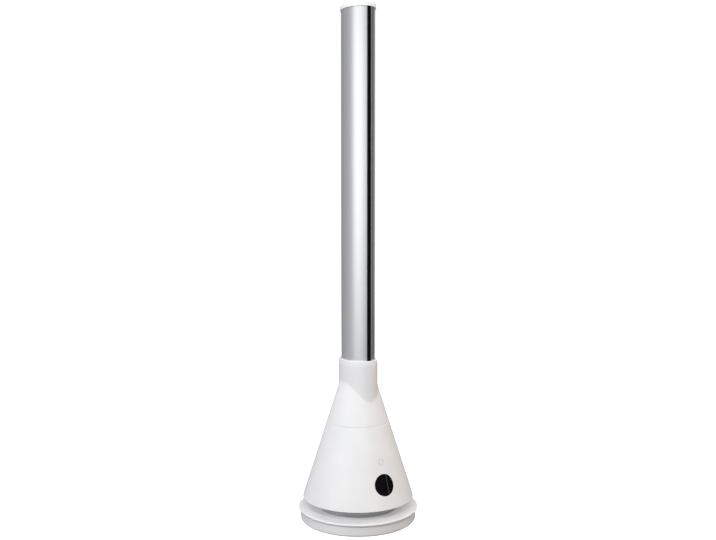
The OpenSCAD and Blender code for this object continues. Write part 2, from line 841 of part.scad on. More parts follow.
module control_board() color(circuit_green) translate([0, control_y, turntable_top
    + control_up]) difference() {
        union() {
            translate([-control_w / 2, -control_d / 2, 0])
                cube([control_w, control_d, board_h]);
            translate([-chip_w / 2, -chip_w / 2, board_h - fit])
                cube([chip_w, chip_w, chip_h + fit]);
            translate([chip_w, -relay_w / 2, board_h - fit])
                cube([relay_w, relay_w, relay_h + fit]);
            for (x = [-1, 1]) translate([x * plug_step - plug_w / 2, control_d / 2 - plug_d,
                board_h - fit]) cube([plug_w, plug_d, plug_h + fit]);
            translate([-chip_w - capacitor_r - 2 * cut, 0, board_h - fit])
                cylinder(r = capacitor_r, h = capacitor_h + fit);
        }
        for (x = [-1, 1], y = [-1, 1])
            translate([x * (control_w / 2 - 2 * post_r), y * (control_d / 2 - 2 * post_r), -cut])
                cylinder(r = screw_hole_r, h = board_h + 2 * cut);
    }

module board_screws() color(plated_steel) for (x = [-1, 1], y = [-1, 1])
    translate([x * (control_w / 2 - 2 * post_r), control_y + y * (control_d / 2
        - 2 * post_r), turntable_top + control_up + board_h]) screw(screw_short + board_h);

module lower_cone() color(white_plastic) difference() {
    union() {
        cone_band(skirt_z, seam_z - seam_w / 2, 0, cone_wall);
        // Ledge and bosses that sit on the fan housing's flange
        intersection() {
            cone_body(skirt_z, seam_z, cone_wall / 2);
            union() {
                ring(skirt_r, cone_in(flange_top + ledge_h) - ledge_w, flange_top, ledge_h);
                around(cone_screw_count, cone_screw_r, 45) translate([0, 0, flange_top])
                    cylinder(r = cone_boss_r, h = cone_boss_h);
            }
        }
    }
    around(cone_screw_count, cone_screw_r, 45) translate([0, 0, flange_top - cut])
        cylinder(r = screw_pilot_r, h = cone_boss_h);
    on_cone(lens_z) plug(lens_r + lens_gap, -2 * cut, 2 * cone_wall + lens_r / 5);
    on_cone(button_z) plug(button_r + button_gap, -2 * cut, 2 * cone_wall);
}

module cone_screws() color(plated_steel) around(cone_screw_count, cone_screw_r, 45)
    translate([0, 0, housing_z]) rotate([180, 0, 0]) screw(flange_h + cone_boss_h / 2);

module display_lens() color(smoked_lens) intersection() {
    cone_band(skirt_z, seam_z, -lens_proud, lens_t);
    on_cone(lens_z) plug(lens_r, -cone_wall, cone_wall + lens_r / 4);
}

module display_frame() color(black_plastic) difference() {
    intersection() {
        on_cone(lens_z) plug(lens_r + frame_wall, 0, frame_deep);
        cone_body(skirt_z, seam_z, cone_wall + snug);
    }
    on_cone(lens_z) plug(lens_r - frame_wall, 0, frame_deep - frame_wall);
}

module display_board() color(circuit_green) on_cone(lens_z) {
    difference() {
        plug(lens_r - frame_wall - fit, display_board_deep, frame_deep - frame_wall);
        translate([0, -eye_down, 0]) plug(eye_r / 2, 0, frame_deep);
    }
    for (x = [-1, 1]) translate([x * (digit_w + cut) / 2 - digit_w / 2, -digit_h / 2,
        -display_board_deep]) cube([digit_w, digit_h, digit_t]);
}

module ir_receiver() color(black_plastic) on_cone(lens_z) translate([0, -eye_down, 0]) {
    plug(eye_r, display_board_deep - eye_r, display_board_deep);
    plug(eye_r / 2 - snug, display_board_deep - eye_r, frame_deep - frame_wall);
    translate([0, 0, eye_r - display_board_deep]) sphere(eye_r);
}

module power_button() color(white_plastic) {
    intersection() {
        cone_band(skirt_z, seam_z, 0, button_t);
        on_cone(button_z) plug(button_r, -cone_wall, 2 * cone_wall);
    }
    on_cone(button_z) {
        plug(button_r - button_rim, button_t / 2, button_rim_deep);
        plug(button_r + button_rim, button_rim_deep, button_rim_deep + button_rim_t);
        plug(button_stem_r, button_rim_deep, button_stem_end);
    }
}

module button_guide() color(black_plastic) difference() {
    intersection() {
        on_cone(button_z) plug(button_r + button_rim + guide_gap + guide_wall, 0, guide_deep);
        cone_body(skirt_z, seam_z, cone_wall + snug);
    }
    on_cone(button_z) plug(button_r + button_rim + guide_gap, -cut, guide_deep + cut);
}

module tact_switch() color(grey_plastic) on_cone(button_z) {
    plug(plunger_r, switch_deep, switch_deep + plunger_h + fit);
    translate([-switch_w / 2, -switch_w / 2, -switch_deep - plunger_h - switch_h])
        cube([switch_w, switch_w, switch_h]);
    plug(button_r + button_rim + guide_gap - fit, switch_deep + plunger_h + switch_h - snug,
        switch_deep + plunger_h + switch_h + board_h);
}

module fan_housing() color(grey_plastic) difference() {
    union() {
        intersection() {
            translate([0, 0, housing_z]) cylinder(r = skirt_r, h = flange_h);
            cone_body(skirt_z, seam_z, cone_wall + fit);
        }
        translate([0, 0, housing_z]) cylinder(r = duct_out_r, h = housing_h);
    }
    translate([0, 0, housing_z - cut]) cylinder(r = duct_r, h = housing_h + 2 * cut);
    around(cone_screw_count, cone_screw_r, 45) translate([0, 0, housing_z - cut])
        cylinder(r = screw_hole_r, h = flange_h + 2 * cut);
    around(grille_screw_count, grille_screw_r, 45) translate([0, 0, housing_z - cut])
        cylinder(r = screw_hole_r, h = flange_h + 2 * cut);
}

module housing_screws() color(plated_steel) around(grille_screw_count, grille_screw_r, 45)
    translate([0, 0, flange_top]) screw(flange_h + grille_flange_h - fit);

module bell_mouth() color(grey_plastic) rotate_extrude() {
    translate([duct_r + mouth_r, housing_z]) intersection() {
        difference() {
            circle(mouth_r);
            circle(mouth_r - mouth_flange_h);
        }
        translate([-mouth_r, -mouth_r]) square(mouth_r);
    }
    translate([duct_r + mouth_flange_h / 2, housing_z - mouth_flange_h])
        square([grille_screw_r - grille_flange / 2 - fit - duct_r - mouth_flange_h / 2,
            mouth_flange_h]);
}

// Slanted blade that reaches from an inner to an outer radius
module blade(r_in, r_out, z, h, thick, pitch) {
    intersection() {
        ring(r_out, r_in, z, h);
        translate([r_in, 0, z + h / 2]) rotate([pitch, 0, 0])
            translate([-r_in / 4, -thick / 2, -h])
                cube([r_out, thick, 2 * h]);
    }
}

module impeller() color(black_plastic) {
    rotate_extrude() {
        translate([hub_r - hub_wall_t, blade_z]) square([hub_wall_t, hub_h]);
        translate([shaft_r + snug, blade_z + hub_h - hub_wall_t])
            square([hub_r - shaft_r - snug, hub_wall_t]);
        translate([shaft_r + snug, blade_z + hub_h / 2])
            square([hub_boss_r - shaft_r - snug, hub_h / 2]);
    }
    for (i = [0:blade_count - 1]) rotate([0, 0, i * 360 / blade_count])
        blade(hub_r - hub_wall_t / 2, duct_r - blade_gap, blade_z + blade_inset, blade_h,
            blade_t, blade_pitch);
}

// Domed profile of radius r and height h, to be spun round the axis
module dome_profile(r, h) polygon([[0, 0],
    for (k = [0:dome_steps]) [r * cos(90 * k / dome_steps), h * sin(90 * k / dome_steps)]]);

module spinner() color(black_plastic) difference() {
    union() {
        translate([0, 0, blade_z]) rotate([180, 0, 0])
            rotate_extrude() dome_profile(hub_r, spinner_h);
        translate([0, 0, blade_z - fit])
            cylinder(r = hub_r - hub_wall_t - slip, h = spinner_h / 3);
    }
    translate([0, 0, blade_z]) rotate([180, 0, 0]) rotate_extrude()
        dome_profile(hub_r - 2 * hub_wall_t, spinner_h - hub_wall_t);
    translate([0, 0, blade_z - cut / 2])
        cylinder(r = hub_r - 2 * hub_wall_t, h = spinner_h);
}

module impeller_nut() color(plated_steel) translate([0, 0, blade_z + hub_h / 2 - nut_h])
    difference() {
        cylinder(r = nut_r, h = nut_h, $fn = 6);
        translate([0, 0, -cut]) cylinder(r = shaft_r + snug, h = nut_h + 2 * cut);
    }

module motor_shaft() color(bright_steel) translate([0, 0, blade_z + hub_h / 2 - 2 * nut_h])
    cylinder(r = shaft_r, h = case_z + case_h + cut - blade_z - hub_h / 2 + 2 * nut_h);

module rotor_magnet() color(cast_weight)
    ring(magnet_r, shaft_r + snug, case_z + (case_h - magnet_h) / 2, magnet_h);

module motor_case() color(bright_steel) translate([0, 0, case_z]) rotate_extrude()
    difference() {
        translate([shaft_r + bearing_ring_w, 0])
            square([motor_r - shaft_r - bearing_ring_w, case_h]);
        translate([bearing_r + case_wall, case_wall])
            square([motor_r - bearing_r - 2 * case_wall, case_h - 2 * case_wall]);
        translate([0, bearing_h + case_wall])
            square([motor_r - case_wall, case_h - 2 * bearing_h - 2 * case_wall]);
        for (z = [-cut, case_h - bearing_h])
            translate([0, z]) square([bearing_r + snug, bearing_h + cut]);
    }

module motor_stator() color(copper_wire) {
    ring(motor_r - case_wall - slip, motor_r - case_wall - stator_w,
        case_z + (case_h - magnet_h) / 2, magnet_h);
    around(coil_count, motor_r - case_wall - stator_w / 2)
        translate([-coil_w / 2, -coil_w, case_z + (case_h - magnet_h) / 2 - coil_h])
            cube([coil_w, 2 * coil_w, magnet_h + 2 * coil_h]);
}

module motor_bearings() color(plated_steel) for (z = [0, case_h - bearing_h])
    difference() {
        ring(bearing_r, shaft_r + slip, case_z + z, bearing_h);
        for (side = [-cut, bearing_h - bearing_ring_w / 2])
            ring(bearing_r - bearing_ring_w, shaft_r + slip + bearing_ring_w,
                case_z + z + side, bearing_ring_w / 2 + cut);
    }

module motor_mounts() color(black_rubber) {
    ring(cup_out_r - cup_wall - slip, motor_r + slip, vane_z + cup_wall, mount_lip + mount_h);
    ring(cup_out_r - cup_wall - slip, motor_r - mount_lip, vane_z + cup_wall, mount_lip - snug);
    ring(cup_out_r - cup_wall - slip, motor_r + slip, case_z + case_h - mount_h, mount_h);
}

module diffuser() color(grey_plastic) {
    ring(cup_out_r, cup_out_r - cup_wall, vane_z, cup_h);
    ring(cup_out_r - cup_wall / 2, shaft_r + mount_lip, vane_z, cup_wall);
    ring(duct_r - slip, duct_r - slip - vane_ring_w, vane_z, vane_h);
    for (i = [0:vane_count - 1]) rotate([0, 0, i * 360 / vane_count])
        blade(cup_out_r - cup_wall / 2, duct_r - slip - vane_ring_w / 2,
            vane_z + blade_inset, vane_h - 2 * blade_inset, vane_t, -vane_deg);
}

module motor_cover() color(grey_plastic) translate([0, 0, housing_top]) difference() {
    union() {
        rotate_extrude() dome_profile(cup_out_r, cover_h);
        translate([0, 0, -cup_wall])
            cylinder(r = cup_out_r - cup_wall - slip, h = cup_wall + cover_h / 3);
    }
    rotate_extrude() dome_profile(cup_out_r - 2 * cup_wall, cover_h - cup_wall);
    translate([0, 0, -cup_wall - cut])
        cylinder(r = cup_out_r - 2 * cup_wall, h = cup_wall + 2 * cut);
}

module duct_seal() color(grey_foam) ring(duct_out_r, duct_r, housing_top, seal_h);

module joining_ring() color(white_plastic) difference() {
    cone_body(web_z, seam_z + join_up, cone_wall + fit);
    cone_body(web_z + web_h, seam_z + join_up + cut, cone_wall + fit + join_wall);
    translate([0, 0, web_z - cut]) cylinder(r = duct_r, h = web_h + 2 * cut);
}

module upper_cone() color(white_plastic) {
    low = seam_z + seam_w / 2;
    blend_z = cone_at(neck_b - cone_wall);
    difference() {
        union() {
            cone_body(low, blend_z, 0);
            oval_bar(neck_a, neck_b, neck_nose_r, low, neck_z - low);
        }
        cone_body(low - cut, blend_z, cone_wall);
        oval_bar(neck_a - cone_wall, neck_b - cone_wall, neck_nose_r - cone_wall, low - cut,
            neck_z - neck_lid_h - low + cut);
        oval_bar(column_a + fit, column_b + fit, column_nose_r + fit,
            neck_z - neck_lid_h - cut, neck_lid_h + 2 * cut);
    }
}

// The children at each of the column's four screw ports
module at_ports() {
    for (x = [-1, 1], y = [-1, 1]) translate([x * port_x, y * port_y, 0]) children();
}

module column_socket() color(black_plastic) difference() {
    oval_bar(neck_a - cone_wall - fit, neck_b - cone_wall - fit, neck_nose_r - cone_wall - fit,
        shelf_z, neck_z - neck_lid_h - shelf_z);
    oval_bar(column_a + snug, column_b + snug, column_nose_r + snug, shelf_z
        + socket_shelf_h, neck_z - shelf_z);
    oval_bar(column_a - shelf_in, column_b - shelf_in, column_nose_r - shelf_in,
        shelf_z - cut, socket_shelf_h + 2 * cut);
    at_ports() translate([0, 0, shelf_z - cut])
        cylinder(r = screw_hole_r, h = socket_shelf_h + 2 * cut);
}

module socket_screws() color(plated_steel) at_ports() translate([0, 0, shelf_z])
    rotate([180, 0, 0]) screw(socket_shelf_h + column_seal_h + screw_long / 2);

module column_gasket() color(grey_foam) difference() {
    oval_bar(column_a, column_b, column_nose_r, shelf_z + socket_shelf_h, column_seal_h);
    oval_bar(column_a - column_seal_w, column_b - column_seal_w,
        column_nose_r - column_seal_w, shelf_z + socket_shelf_h - cut,
        column_seal_h + 2 * cut);
    at_ports() translate([0, 0, shelf_z + socket_shelf_h - cut])
        cylinder(r = screw_hole_r, h = column_seal_h + 2 * cut);
}

module column_shell() color(satin_aluminium) difference() {
    union() {
        difference() {
            oval_bar(column_a, column_b, column_nose_r, column_z, column_top - column_z);
            oval_bar(column_a - column_wall, column_b - column_wall,
                column_nose_r - column_wall, column_z - cut,
                column_top - column_z + 2 * cut);
        }
        at_ports() translate([0, 0, column_z])
            cylinder(r = port_r, h = column_top - column_z);
    }
    at_ports() translate([0, 0, column_z - cut])
        cylinder(r = screw_pilot_r, h = column_top - column_z + 2 * cut);
    translate([-slot_w / 2, -column_a - cut, column_z - cut])
        cube([slot_w, column_nose_r / 2 + cut, column_top - column_z + 2 * cut]);
}

// How far forward the space inside the column's nose reaches at a distance x
function strip_y(x) = column_nose_r - column_a
    - sqrt(pow(column_nose_r - column_wall - fit, 2) - x * x);

// Outline of the nozzle strip on one side of the slot
module strip_outline() polygon([
    [jet_w / 2, strip_back - column_a],
    [slot_w / 2 - fit / 2, strip_back - column_a],
    [slot_w / 2 - fit / 2, strip_y(slot_w / 2)],
    [strip_reach, strip_y(strip_reach)],
    [strip_reach, strip_y(strip_reach) + strip_t],
    [jet_w / 2 + strip_flare + strip_tail, strip_deep - column_a],
    [jet_w / 2 + strip_flare, strip_deep - column_a],
    [jet_w / 2, strip_back + strip_lip + strip_t - column_a]]);

module nozzle_strips() color(black_plastic) for (side = [0, 1]) mirror([side, 0, 0])
    translate([0, 0, column_z]) linear_extrude(column_top - column_z) strip_outline();

module top_bracket() color(black_plastic) difference() {
    oval_bar(column_a, column_b, column_nose_r, column_top, bracket_h);
    at_ports() translate([0, 0, column_top - cut])
        cylinder(r = screw_hole_r, h = bracket_h + 2 * cut);
}

module cap_screws() color(plated_steel) at_ports()
    translate([0, 0, column_top + bracket_h]) screw(bracket_h + screw_long / 2);

module top_cap() color(white_plastic) {
    difference() {
        soft_oval(column_a + cap_out, column_b + cap_out, column_nose_r + cap_out,
            column_top, cap_h, cap_edge_r);
        oval_bar(column_a + fit, column_b + fit, column_nose_r + fit, column_top - cut,
            cap_h - cap_roof + cut);
    }
    // Pegs that seat on the bracket
    for (s = [-1, 1]) translate([0, s * cap_peg_y, column_top + bracket_h])
        cylinder(r = cap_peg_r, h = cap_h - cap_roof / 2 - bracket_h);
}

base_pan();
base_cover();
counterweight();
rubber_feet();
pan_screws();
cord_gland();
power_board();
power_module();
ring_gear();
lower_race();
pivot_post();
post_screws();
thrust_washer();
retaining_clip();
ball_cage();
bearing_balls();
turntable();
upper_race();
intake_grille();
grille_screws();
swing_motor();
swing_motor_screws();
drive_pinion();
pinion_shaft();
control_board();
board_screws();
lower_cone();
cone_screws();
display_lens();
display_frame();
display_board();
ir_receiver();
power_button();
button_guide();
tact_switch();
fan_housing();
housing_screws();
bell_mouth();
impeller();
spinner();
impeller_nut();
motor_shaft();
rotor_magnet();
motor_case();
motor_stator();
motor_bearings();
motor_mounts();
diffuser();
motor_cover();
duct_seal();
joining_ring();
upper_cone();
column_socket();
socket_screws();
column_gasket();
column_shell();
nozzle_strips();
top_bracket();
cap_screws();
top_cap();
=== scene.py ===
"""Dresses a bladeless tower fan: a saucer base, a white conical turret and an aluminium column.

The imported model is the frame. The shells that show are modelled here in place of their plain
solids, and the inner parts keep their solids and get their finishes. Sizes are in millimetres.
"""

import logging
import math
from dataclasses import dataclass, field
from enum import Enum
from typing import Callable, Sequence

import bmesh
import bpy
from mathutils import Matrix, Vector


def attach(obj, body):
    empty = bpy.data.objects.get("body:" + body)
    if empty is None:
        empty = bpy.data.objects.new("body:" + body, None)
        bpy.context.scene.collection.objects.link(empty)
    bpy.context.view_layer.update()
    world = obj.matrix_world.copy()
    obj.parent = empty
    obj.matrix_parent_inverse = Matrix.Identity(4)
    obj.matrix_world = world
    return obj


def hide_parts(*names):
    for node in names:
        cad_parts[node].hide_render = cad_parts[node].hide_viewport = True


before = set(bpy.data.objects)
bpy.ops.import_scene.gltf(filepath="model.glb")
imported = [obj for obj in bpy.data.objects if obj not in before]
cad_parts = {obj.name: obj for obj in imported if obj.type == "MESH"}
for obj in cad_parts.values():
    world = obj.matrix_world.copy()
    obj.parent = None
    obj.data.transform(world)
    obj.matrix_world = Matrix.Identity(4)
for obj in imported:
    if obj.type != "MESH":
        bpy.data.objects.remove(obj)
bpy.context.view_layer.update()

LOG = logging.getLogger("tower_fan")
MM = 0.001
Piece = bpy.types.Object
Tree = bpy.types.NodeTree
Node = bpy.types.Node
Socket = bpy.types.NodeSocket
Point = Sequence[float]
CORNERS = ((-1, -1), (-1, 1), (1, -1), (1, 1))
# Radii of the bosses that take a screw, and of the pilot holes in them
BOSS_R = 3.75
PILOT_R = 1.55


class Body(Enum):
    """Moving bodies of the fan."""

    BASE = "base"
    TURRET = "turret"
    BUTTON = "button"


class Join(Enum):
    """Ways to combine two solids."""

    CUT = "DIFFERENCE"
    ADD = "UNION"


class Light(Enum):
    """What a lamp gives: light on dull surfaces, the same with no shadow, or a bright field."""

    SPREAD = "spread"
    FILL = "fill"
    MIRRORED = "mirrored"


@dataclass(frozen=True)
class Oval:
    """Outline of four tangent arcs, long way front to back."""

    a: float
    b: float
    nose: float

    @property
    def shift(self) -> float:
        """How far a side arc's centre lies past the middle."""
        return ((self.a - self.nose) ** 2 - (self.b - self.nose) ** 2) / (2 * (self.b - self.nose))

    @property
    def meet_y(self) -> float:
        """Where the side arcs meet the nose arcs."""
        side = self.b + self.shift
        return (self.a - self.nose) * side / (side - self.nose)

    def grown(self, by: float) -> "Oval":
        """The outline set out by a distance."""
        return Oval(self.a + by, self.b + by, self.nose + by)

    def reach(self, angle: float) -> float:
        """Distance from the middle to the outline.

        Args:
            angle: direction from +X, in radians.

        Returns:
            The distance in millimetres.
        """
        x, y = abs(math.cos(angle)), abs(math.sin(angle))
        centre = self.a - self.nose
        if x * centre <= self.nose:
            far = y * centre + math.sqrt(self.nose**2 - (x * centre) ** 2)
            if far * y >= self.meet_y:
                return far
        side = self.b + self.shift
        return math.sqrt(side**2 - (y * self.shift) ** 2) - x * self.shift

    def side_x(self, y: float) -> float:
        """Half of the outline's width at a distance y from its middle."""
        return math.sqrt((self.b + self.shift) ** 2 - y * y) - self.shift


@dataclass(frozen=True)
class Cone:
    """The slanted outside that both cone shells share."""

    skirt_r: float = 109.3
    skirt_z: float = 47.4
    seam_z: float = 196.1
    seam_w: float = 0.7
    soft: float = 0.6
    slope: float = (109.3 - 35.5) / 230.6
    wall: float = 2.5

    @property
    def slant(self) -> float:
        """Slant from upright, in radians."""
        return math.atan(self.slope)

    @property
    def across(self) -> float:
        """The wall measured level."""
        return self.wall / math.cos(self.slant)

    def radius(self, z: float) -> float:
        """Radius at a height."""
        return self.skirt_r - self.slope * (z - self.skirt_z)

    def front(self, z: float) -> Matrix:
        """Place on the front of the cone, with +Z straight out of it, in metres."""
        spot = Vector((0, -self.radius(z), z)) * MM
        return Matrix.Translation(spot) @ Matrix.Rotation(math.pi / 2 - self.slant, 4, "X")


class Bench:
    """Steps of modelling that every piece uses."""

    @staticmethod
    def clear() -> None:
        """Closes edit mode and leaves nothing selected."""
        if bpy.context.object is not None and bpy.context.object.mode == "EDIT":
            bpy.ops.object.mode_set(mode="OBJECT")
        bpy.ops.object.select_all(action="DESELECT")

    @staticmethod
    def focus(piece: Piece) -> None:
        """Makes a piece the only one selected."""
        Bench.clear()
        bpy.context.view_layer.objects.active = piece
        piece.select_set(True)

    @staticmethod
    def pick(piece: Piece, kind: str,
             test: Callable[[object], bool] = lambda part: True) -> None:
        """Opens a piece and selects some of its parts.

        Args:
            piece: the piece to open in edit mode.
            kind: VERT, EDGE or FACE.
            test: says whether a part is wanted. All are when it is left out.
        """
        Bench.focus(piece)
        bpy.ops.object.mode_set(mode="EDIT")
        bpy.ops.mesh.select_mode(type=kind)
        bpy.ops.mesh.select_all(action="DESELECT")
        mesh = bmesh.from_edit_mesh(piece.data)
        parts = {"VERT": mesh.verts, "EDGE": mesh.edges, "FACE": mesh.faces}[kind]
        for part in parts:
            if test(part):
                part.select_set(True)
        mesh.select_flush_mode()
        bmesh.update_edit_mesh(piece.data)

    @staticmethod
    def tidy(piece: Piece) -> Piece:
        """Merges doubled points and turns the faces outwards."""
        Bench.pick(piece, "VERT")
        bpy.ops.mesh.remove_doubles(threshold=1e-6)
        bpy.ops.mesh.select_all(action="SELECT")
        bpy.ops.mesh.normals_make_consistent(inside=False)
        Bench.clear()
        return piece

    @staticmethod
    def modify(piece: Piece, kind: str, **settings: object) -> Piece:
        """Adds a modifier and applies it.

        Args:
            piece: the piece to change.
            kind: Blender's type of modifier.
            settings: values of the modifier.

        Returns:
            The same piece.
        """
        Bench.focus(piece)
        change = piece.modifiers.new(kind.title(), kind)
        for name, value in settings.items():
            setattr(change, name, value)
        bpy.ops.object.modifier_apply(modifier=change.name)
        return piece

    @staticmethod
    def bevel(piece: Piece, width: float, steps: int, corner: float = 40) -> None:
        """Rounds every edge sharper than an angle.

        Args:
            piece: the piece to round.
            width: width of the rounding.
            steps: faces across it.
            corner: smallest angle that counts as an edge, in degrees.
        """
        Bench.modify(piece, "BEVEL", width=width * MM, segments=steps, limit_method="ANGLE",
                     angle_limit=math.radians(corner), use_clamp_overlap=True)

    @staticmethod
    def combine(piece: Piece, tool: Piece, how: Join) -> Piece:
        """Cuts or adds one solid, which is used up."""
        Bench.modify(piece, "BOOLEAN", object=tool, operation=how.value, solver="EXACT")
        bpy.data.objects.remove(tool)
        return piece

    @staticmethod
    def join(piece: Piece, *others: Piece) -> Piece:
        """Makes several meshes one piece."""
        Bench.focus(piece)
        for other in others:
            other.select_set(True)
        bpy.ops.object.join()
        return piece

    @staticmethod
    def rod(radius: float, low: float, high: float, at: Point = (0, 0), sides: int = 48) -> Piece:
        """An upright round tool or boss.

        Args:
            radius: its radius.
            low: height of its foot.
            high: height of its top.
            at: x and y of its axis.
            sides: how many sides stand for the circle.

        Returns:
            The new object.
        """
        Bench.clear()
        spot = Vector((at[0], at[1], (low + high) / 2)) * MM
        bpy.ops.mesh.primitive_cylinder_add(vertices=sides, radius=radius * MM,
                                            depth=(high - low) * MM, location=spot)
        return Bench.settle()

    @staticmethod
    def block(low: Point, high: Point) -> Piece:
        """A straight tool or rib between two corners."""
        Bench.clear()
        middle = (Vector(low) + Vector(high)) / 2 * MM
        bpy.ops.mesh.primitive_cube_add(size=1, location=middle)
        bpy.context.object.scale = (Vector(high) - Vector(low)) * MM
        return Bench.settle()

    @staticmethod
    def settle() -> Piece:
        """Applies the active object's place, turn and size to its mesh."""
        bpy.ops.object.transform_apply(location=True, rotation=True, scale=True)
        return bpy.context.object

    @staticmethod
    def extrude(step: Point = (0, 0, 0)) -> None:
        """Draws what is selected out by a step."""
        bpy.ops.mesh.extrude_region_move(TRANSFORM_OT_translate={"value": Vector(step) * MM})

    @staticmethod
    def turn(piece: Piece, degrees: float) -> Piece:
        """Turns a mesh about the fan's axis."""
        piece.data.transform(Matrix.Rotation(math.radians(degrees), 4, "Z"))
        return piece

    @staticmethod
    def around(piece: Piece, count: int) -> Piece:
        """Repeats a mesh evenly round the fan's axis, each copy with its own faces."""
        Bench.pick(piece, "VERT")
        for _ in range(count - 1):
            bpy.ops.mesh.duplicate()
            bpy.ops.transform.rotate(value=2 * math.pi / count, orient_axis="Z",
                                     center_override=(0, 0, 0))
        Bench.clear()
        return piece

    @staticmethod
    def rods(radius: float, low: float, high: float, at: float, count: int, turn: float = 0,
             sides: int = 48) -> Piece:
        """Upright rods set evenly round the fan's axis, the first one turned to an angle."""
        return Bench.around(Bench.turn(Bench.rod(radius, low, high, (at, 0), sides), turn), count)

    @staticmethod
    def place(piece: Piece, where: Matrix) -> Piece:
        """Puts a piece in its place and leaves its object at the origin."""
        Bench.focus(piece)
        piece.matrix_world = where
        return Bench.settle()


class Pen:
    """Draws an outline in edit mode, from a plane that is merged to one point."""

    def __init__(self, name: str, start: Point) -> None:
        """Starts an outline at a point.

        Args:
            name: name of the piece that the outline becomes.
            start: x, y and z of the first point.
        """
        Bench.clear()
        bpy.ops.mesh.primitive_plane_add(size=MM)
        self.piece = bpy.context.object
        self.piece.name = self.piece.data.name = name
        bpy.ops.object.mode_set(mode="EDIT")
        bpy.ops.mesh.select_mode(type="VERT")
        bpy.ops.mesh.select_all(action="SELECT")
        bpy.ops.mesh.merge(type="CENTER")
        self.at = Vector(start)
        bpy.ops.transform.translate(value=self.at * MM)

    def line(self, *points: Point) -> "Pen":
        """Draws straight lines through more points."""
        for point in points:
            Bench.extrude(Vector(point) - self.at)
            self.at = Vector(point)
        return self

    def arc(self, centre: Point, degrees: float, steps: int, axis: Point = (0, 0, 1)) -> "Pen":
        """Draws an arc.

        Args:
            centre: centre of the arc.
            degrees: angle that it turns through, counter-clockwise seen against the axis.
            steps: lines that stand for it.
            axis: the line that it turns about.

        Returns:
            The same pen.
        """
        middle = Vector(centre)
        bpy.ops.mesh.spin(steps=steps, angle=-math.radians(degrees), center=middle * MM, axis=axis)
        self.at = middle + Matrix.Rotation(math.radians(degrees), 3, Vector(axis)) @ (
            self.at - middle)
        return self

    def prism(self, height: float) -> Piece:
        """Closes the outline, fills it and draws it up.

        Args:
            height: how far up.

        Returns:
            The solid.
        """
        bpy.ops.mesh.select_all(action="SELECT")
        bpy.ops.mesh.remove_doubles(threshold=1e-6)
        bpy.ops.mesh.select_all(action="SELECT")
        bpy.ops.mesh.edge_face_add()
        Bench.extrude((0, 0, height))
        return Bench.tidy(self.piece)


class Profile(Pen):
    """Half of a turned piece's section, with radius and height for its points."""

    def __init__(self, name: str, start: Point) -> None:
        """Starts the section at a radius and a height."""
        super().__init__(name, (start[0], 0, start[1]))

    def to(self, *points: Point) -> "Profile":
        """Draws on through more radii and heights."""
        self.line(*[(r, 0, z) for r, z in points])
        return self

    def bend(self, centre: Point, degrees: float, steps: int = 8) -> "Profile":
        """Draws an arc about a radius and a height, counter-clockwise in the section."""
        self.arc((centre[0], 0, centre[1]), degrees, steps, (0, -1, 0))
        return self

    def lathe(self, sides: int = 384) -> Piece:
        """Turns the section round the fan's axis.

        Args:
            sides: how many steps the full turn has.

        Returns:
            The solid.
        """
        bpy.ops.mesh.select_all(action="SELECT")
        bpy.ops.mesh.spin(steps=sides, angle=2 * math.pi, center=(0, 0, 0), axis=(0, 0, 1))
        return Bench.tidy(self.piece)


def linear(code: str) -> tuple[float, float, float, float]:
    """Turns an sRGB hex colour to linear.

    Args:
        code: six hex digits after a hash.

    Returns:
        Red, green, blue and an alpha of one.
    """
    parts = [int(code[i:i + 2], 16) / 255 for i in (1, 3, 5)]
    flat = [c / 12.92 if c <= 0.04045 else ((c + 0.055) / 1.055) ** 2.4 for c in parts]
    return flat[0], flat[1], flat[2], 1.0


def add_node(tree: Tree, kind: str, sets: dict | None = None, links: dict | None = None) -> Node:
    """Adds a node with its settings and links.

    Args:
        tree: the node tree.
        kind: Blender's name of the node, without ShaderNode in front.
        sets: properties by name, and inputs by name or number.
        links: the output that feeds each input.

    Returns:
        The node.
    """
    node = tree.nodes.new(f"ShaderNode{kind}")
    for key, value in (sets or {}).items():
        if isinstance(key, str) and key[0].islower():
            setattr(node, key, value)
        else:
            node.inputs[key].default_value = value
    for key, source in (links or {}).items():
        tree.links.new(source, node.inputs[key])
    return node


def empty_tree(owner: bpy.types.Material | bpy.types.World) -> Tree:
    """Gives a material or a world a node tree with nothing in it."""
    owner.use_nodes = True
    owner.node_tree.nodes.clear()
    return owner.node_tree


